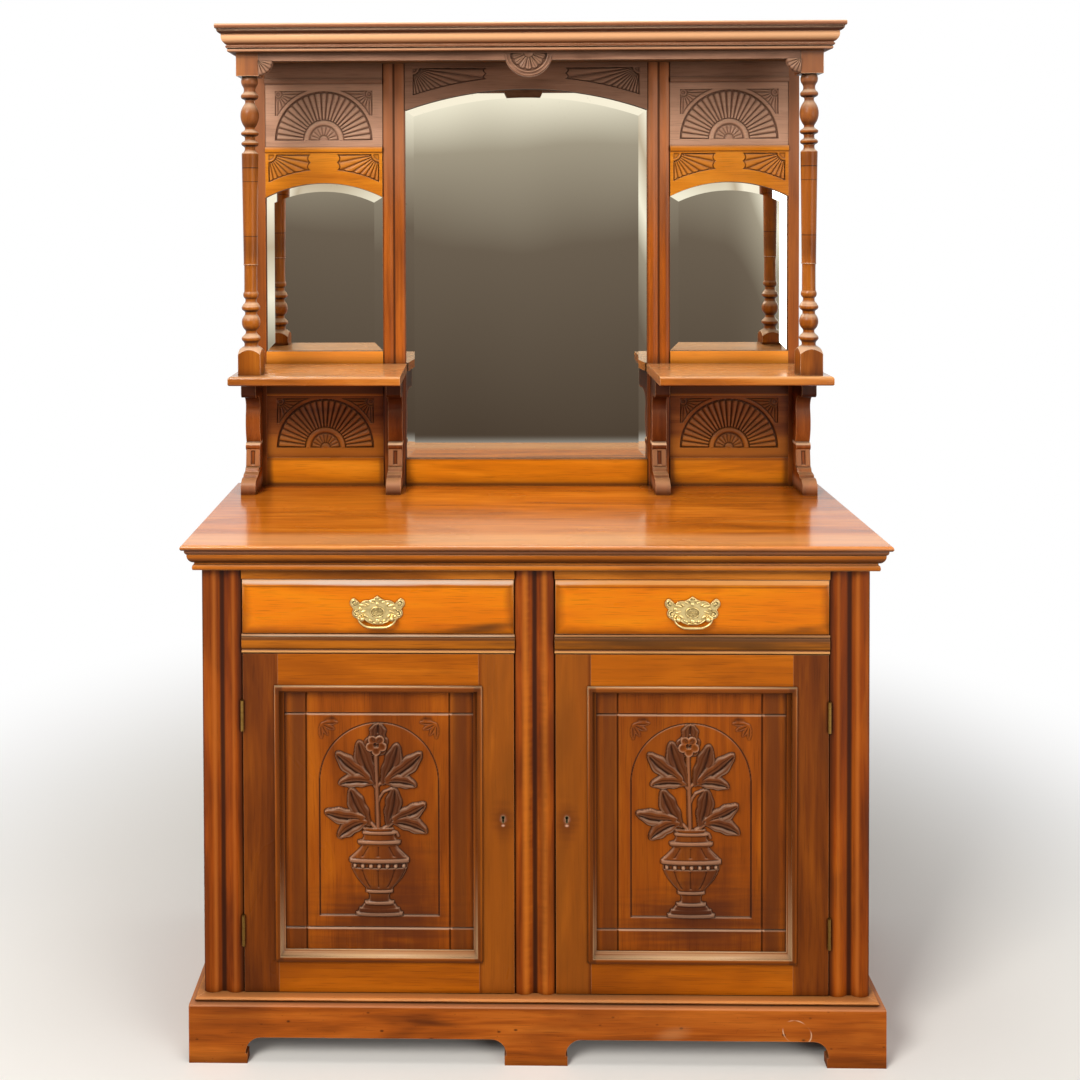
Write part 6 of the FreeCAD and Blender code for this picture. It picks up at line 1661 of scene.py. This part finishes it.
@dataclass
class Studio:
    """A pale floor, soft lamps and the camera."""

    eye: tuple[float, float, float] = (-0.0780, -2.1647, 1.5027)
    yaw: float = 0.0156307
    pitch: float = -0.0173410
    roll: float = 0.0032653
    lens: float = 37.547
    shift: tuple[float, float] = (0.0635, -0.2898)
    floor_half: float = 9.0
    lamp_colour: tuple[float, float, float] = (1.0, 0.97, 0.92)

    def build(self) -> None:
        """Sets up everything that isn't the object."""
        self.camera()
        self.floor()
        self.card()
        self.world()
        self.lamp("key", (-1.9, -2.6, 3.2), (0.0, 0.0, 0.8), 1.5, 122.0)
        self.lamp("fill", (2.4, -2.8, 1.5), (0.0, 0.0, 0.6), 2.0, 44.0)
        self.lamp("top", (0.1, -0.2, 3.5), (0.0, 0.0, 0.9), 1.2, 40.0)
        bpy.context.scene.view_settings.view_transform = "Standard"

    def camera(self) -> None:
        """Places the camera."""
        data = bpy.data.cameras.new("studio_camera")
        data.lens, data.sensor_width, data.sensor_fit = self.lens, 36.0, "HORIZONTAL"
        data.shift_x, data.shift_y = self.shift
        data.clip_start, data.clip_end = 0.05, 60.0
        camera = placed("studio_camera", data)
        forward = Vector((-math.sin(self.yaw) * math.cos(self.pitch), math.cos(self.yaw) * math.cos(self.pitch),
                          math.sin(self.pitch)))
        right = Vector((math.cos(self.yaw), math.sin(self.yaw), 0.0))
        level = math.cos(self.roll) * right - math.sin(self.roll) * right.cross(forward)
        turn = Matrix((level, level.cross(forward), -forward)).transposed()
        camera.matrix_world = Matrix.Translation(Vector(self.eye)) @ turn.to_4x4()
        bpy.context.scene.camera = camera

    def plane(self, name: str, half: float, graph: Graph) -> Object:
        """A flat square round the origin that isn't part of the object."""
        bm = bmesh.new()
        bmesh.ops.create_grid(bm, x_segments=8, y_segments=8, size=half)
        mesh = bpy.data.meshes.new(name)
        bm.to_mesh(mesh)
        bm.free()
        mesh.materials.append(graph.material)
        sheet = placed(name, mesh)
        return sheet

    def glow(self, graph: Graph, share: object, colour: object, strength: float = 1.0) -> None:
        """Mixes a plain glow over a finish."""
        light = graph.add("Emission", {"Strength": strength, "Color": colour})
        graph.put(graph.surface, graph.add("MixShader", {0: share, 1: graph.shader.outputs[0], 2: light}))

    def floor(self) -> None:
        """A pale floor that keeps the shadow near the object and fades into the backdrop."""
        graph = Graph("studio_floor")
        camera, glossy = (graph.add("LightPath", {}, f"Is {kind} Ray") for kind in ("Camera", "Glossy"))
        graph.colour(graph.blend(camera, tint(150, 146, 140), tint(242, 240, 236)))
        graph.sheen(0.75, specular=0.1)
        away = graph.add("VectorMath", {0: graph.place}, "Value", operation="LENGTH")
        share = graph.times(graph.band(away, 0.85, 2.1), graph.maths("MAXIMUM", camera, glossy))
        self.glow(graph, share, WHITE)
        self.plane("studio_floor", self.floor_half, graph)

    def card(self) -> None:
        """A dim card in front, seen only in polished faces: dark low down and cream higher up."""
        graph = Graph("studio_card")
        height = graph.plus(graph.part("Y"), graph.times(graph.noise((3.0, 0.7, 1.0), 2.0), 0.4))
        height = graph.plus(height, graph.band(graph.maths("ABSOLUTE", graph.part("X")), 0.22, 0.32, 0.0, 0.7))
        tones = graph.ramp(graph.times(graph.plus(height, 0.8), 0.5), (
            (0.0, tint(66, 54, 44)), (0.38, tint(98, 86, 74)), (0.52, tint(150, 140, 124)),
            (0.61, tint(230, 222, 204)), (0.70, tint(180, 164, 142)), (0.78, tint(232, 222, 204))))
        foot = graph.band(graph.part("Y"), -1.0, -0.93, 1.0, 0.0)
        self.glow(graph, 1.0, graph.blend(foot, tones, tint(198, 193, 186)), 1.6)
        card = self.plane("studio_card", 1.0, graph)
        card.matrix_world = (Matrix.Translation((0.0, -4.2, 1.75)) @ Matrix.Rotation(math.pi / 2, 4, "X")
                             @ Matrix.Diagonal((6.0, 1.74, 1.0, 1.0)))
        card.visible_camera = card.visible_diffuse = card.visible_shadow = card.visible_transmission = False

    def world(self) -> None:
        """A white backdrop for the eye, and a softer one for the light that it gives."""
        world = bpy.data.worlds.new("studio")
        bpy.context.scene.world = world
        world.use_nodes = True
        nodes = Tree(world.node_tree)
        camera, glossy, through = (nodes.add("LightPath", {}, f"Is {kind} Ray")
                                   for kind in ("Camera", "Glossy", "Transmission"))
        seen = nodes.maths("MAXIMUM", nodes.maths("MAXIMUM", camera, glossy), through)
        soft, plain = (nodes.add("Background", {"Strength": strength, "Color": colour})
                       for strength, colour in ((0.26, (0.98, 0.98, 1.0, 1.0)), (1.0, WHITE)))
        nodes.end("OutputWorld", nodes.add("MixShader", {0: seen, 1: soft, 2: plain}))

    def lamp(self, name: str, place: Sequence[float], aim: Sequence[float], size: float, power: float) -> None:
        """A square soft lamp that looks at a point."""
        data = bpy.data.lights.new(name, "AREA")
        data.size, data.energy, data.color = size, power, self.lamp_colour
        lamp = placed(name, data)
        lamp.location = place
        lamp.rotation_euler = (Vector(aim) - Vector(place)).to_track_quat("-Z", "Y").to_euler()


def main() -> None:
    """Loads the frame, dresses it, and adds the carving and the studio."""
    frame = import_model()
    dressing = Dressing(frame["nodes"], Finishes())
    dressing.dress()
    fans, low_fans, rails, top_rail, apron = (
        dressing.material(name, ACROSS) for name in ("fan_upper", "fan_lower", "gallery_rail", "top_rail", "apron"))
    GalleryCarving().build(fans, low_fans, rails, top_rail)
    ApronCarving().build(apron)
    BracketFlutes().build(dressing.material("bracket", UPRIGHT))
    DoorCarving().build(dressing.material("panel", UPRIGHT))
    PullOrnament().build(dressing.material("pull"))
    Fixings().build(dressing.material("hinge"), dressing.material("steel"))
    Studio().build()


if __name__ == "__main__":
    logging.basicConfig(level=logging.INFO, format="%(name)s: %(message)s")
    main()
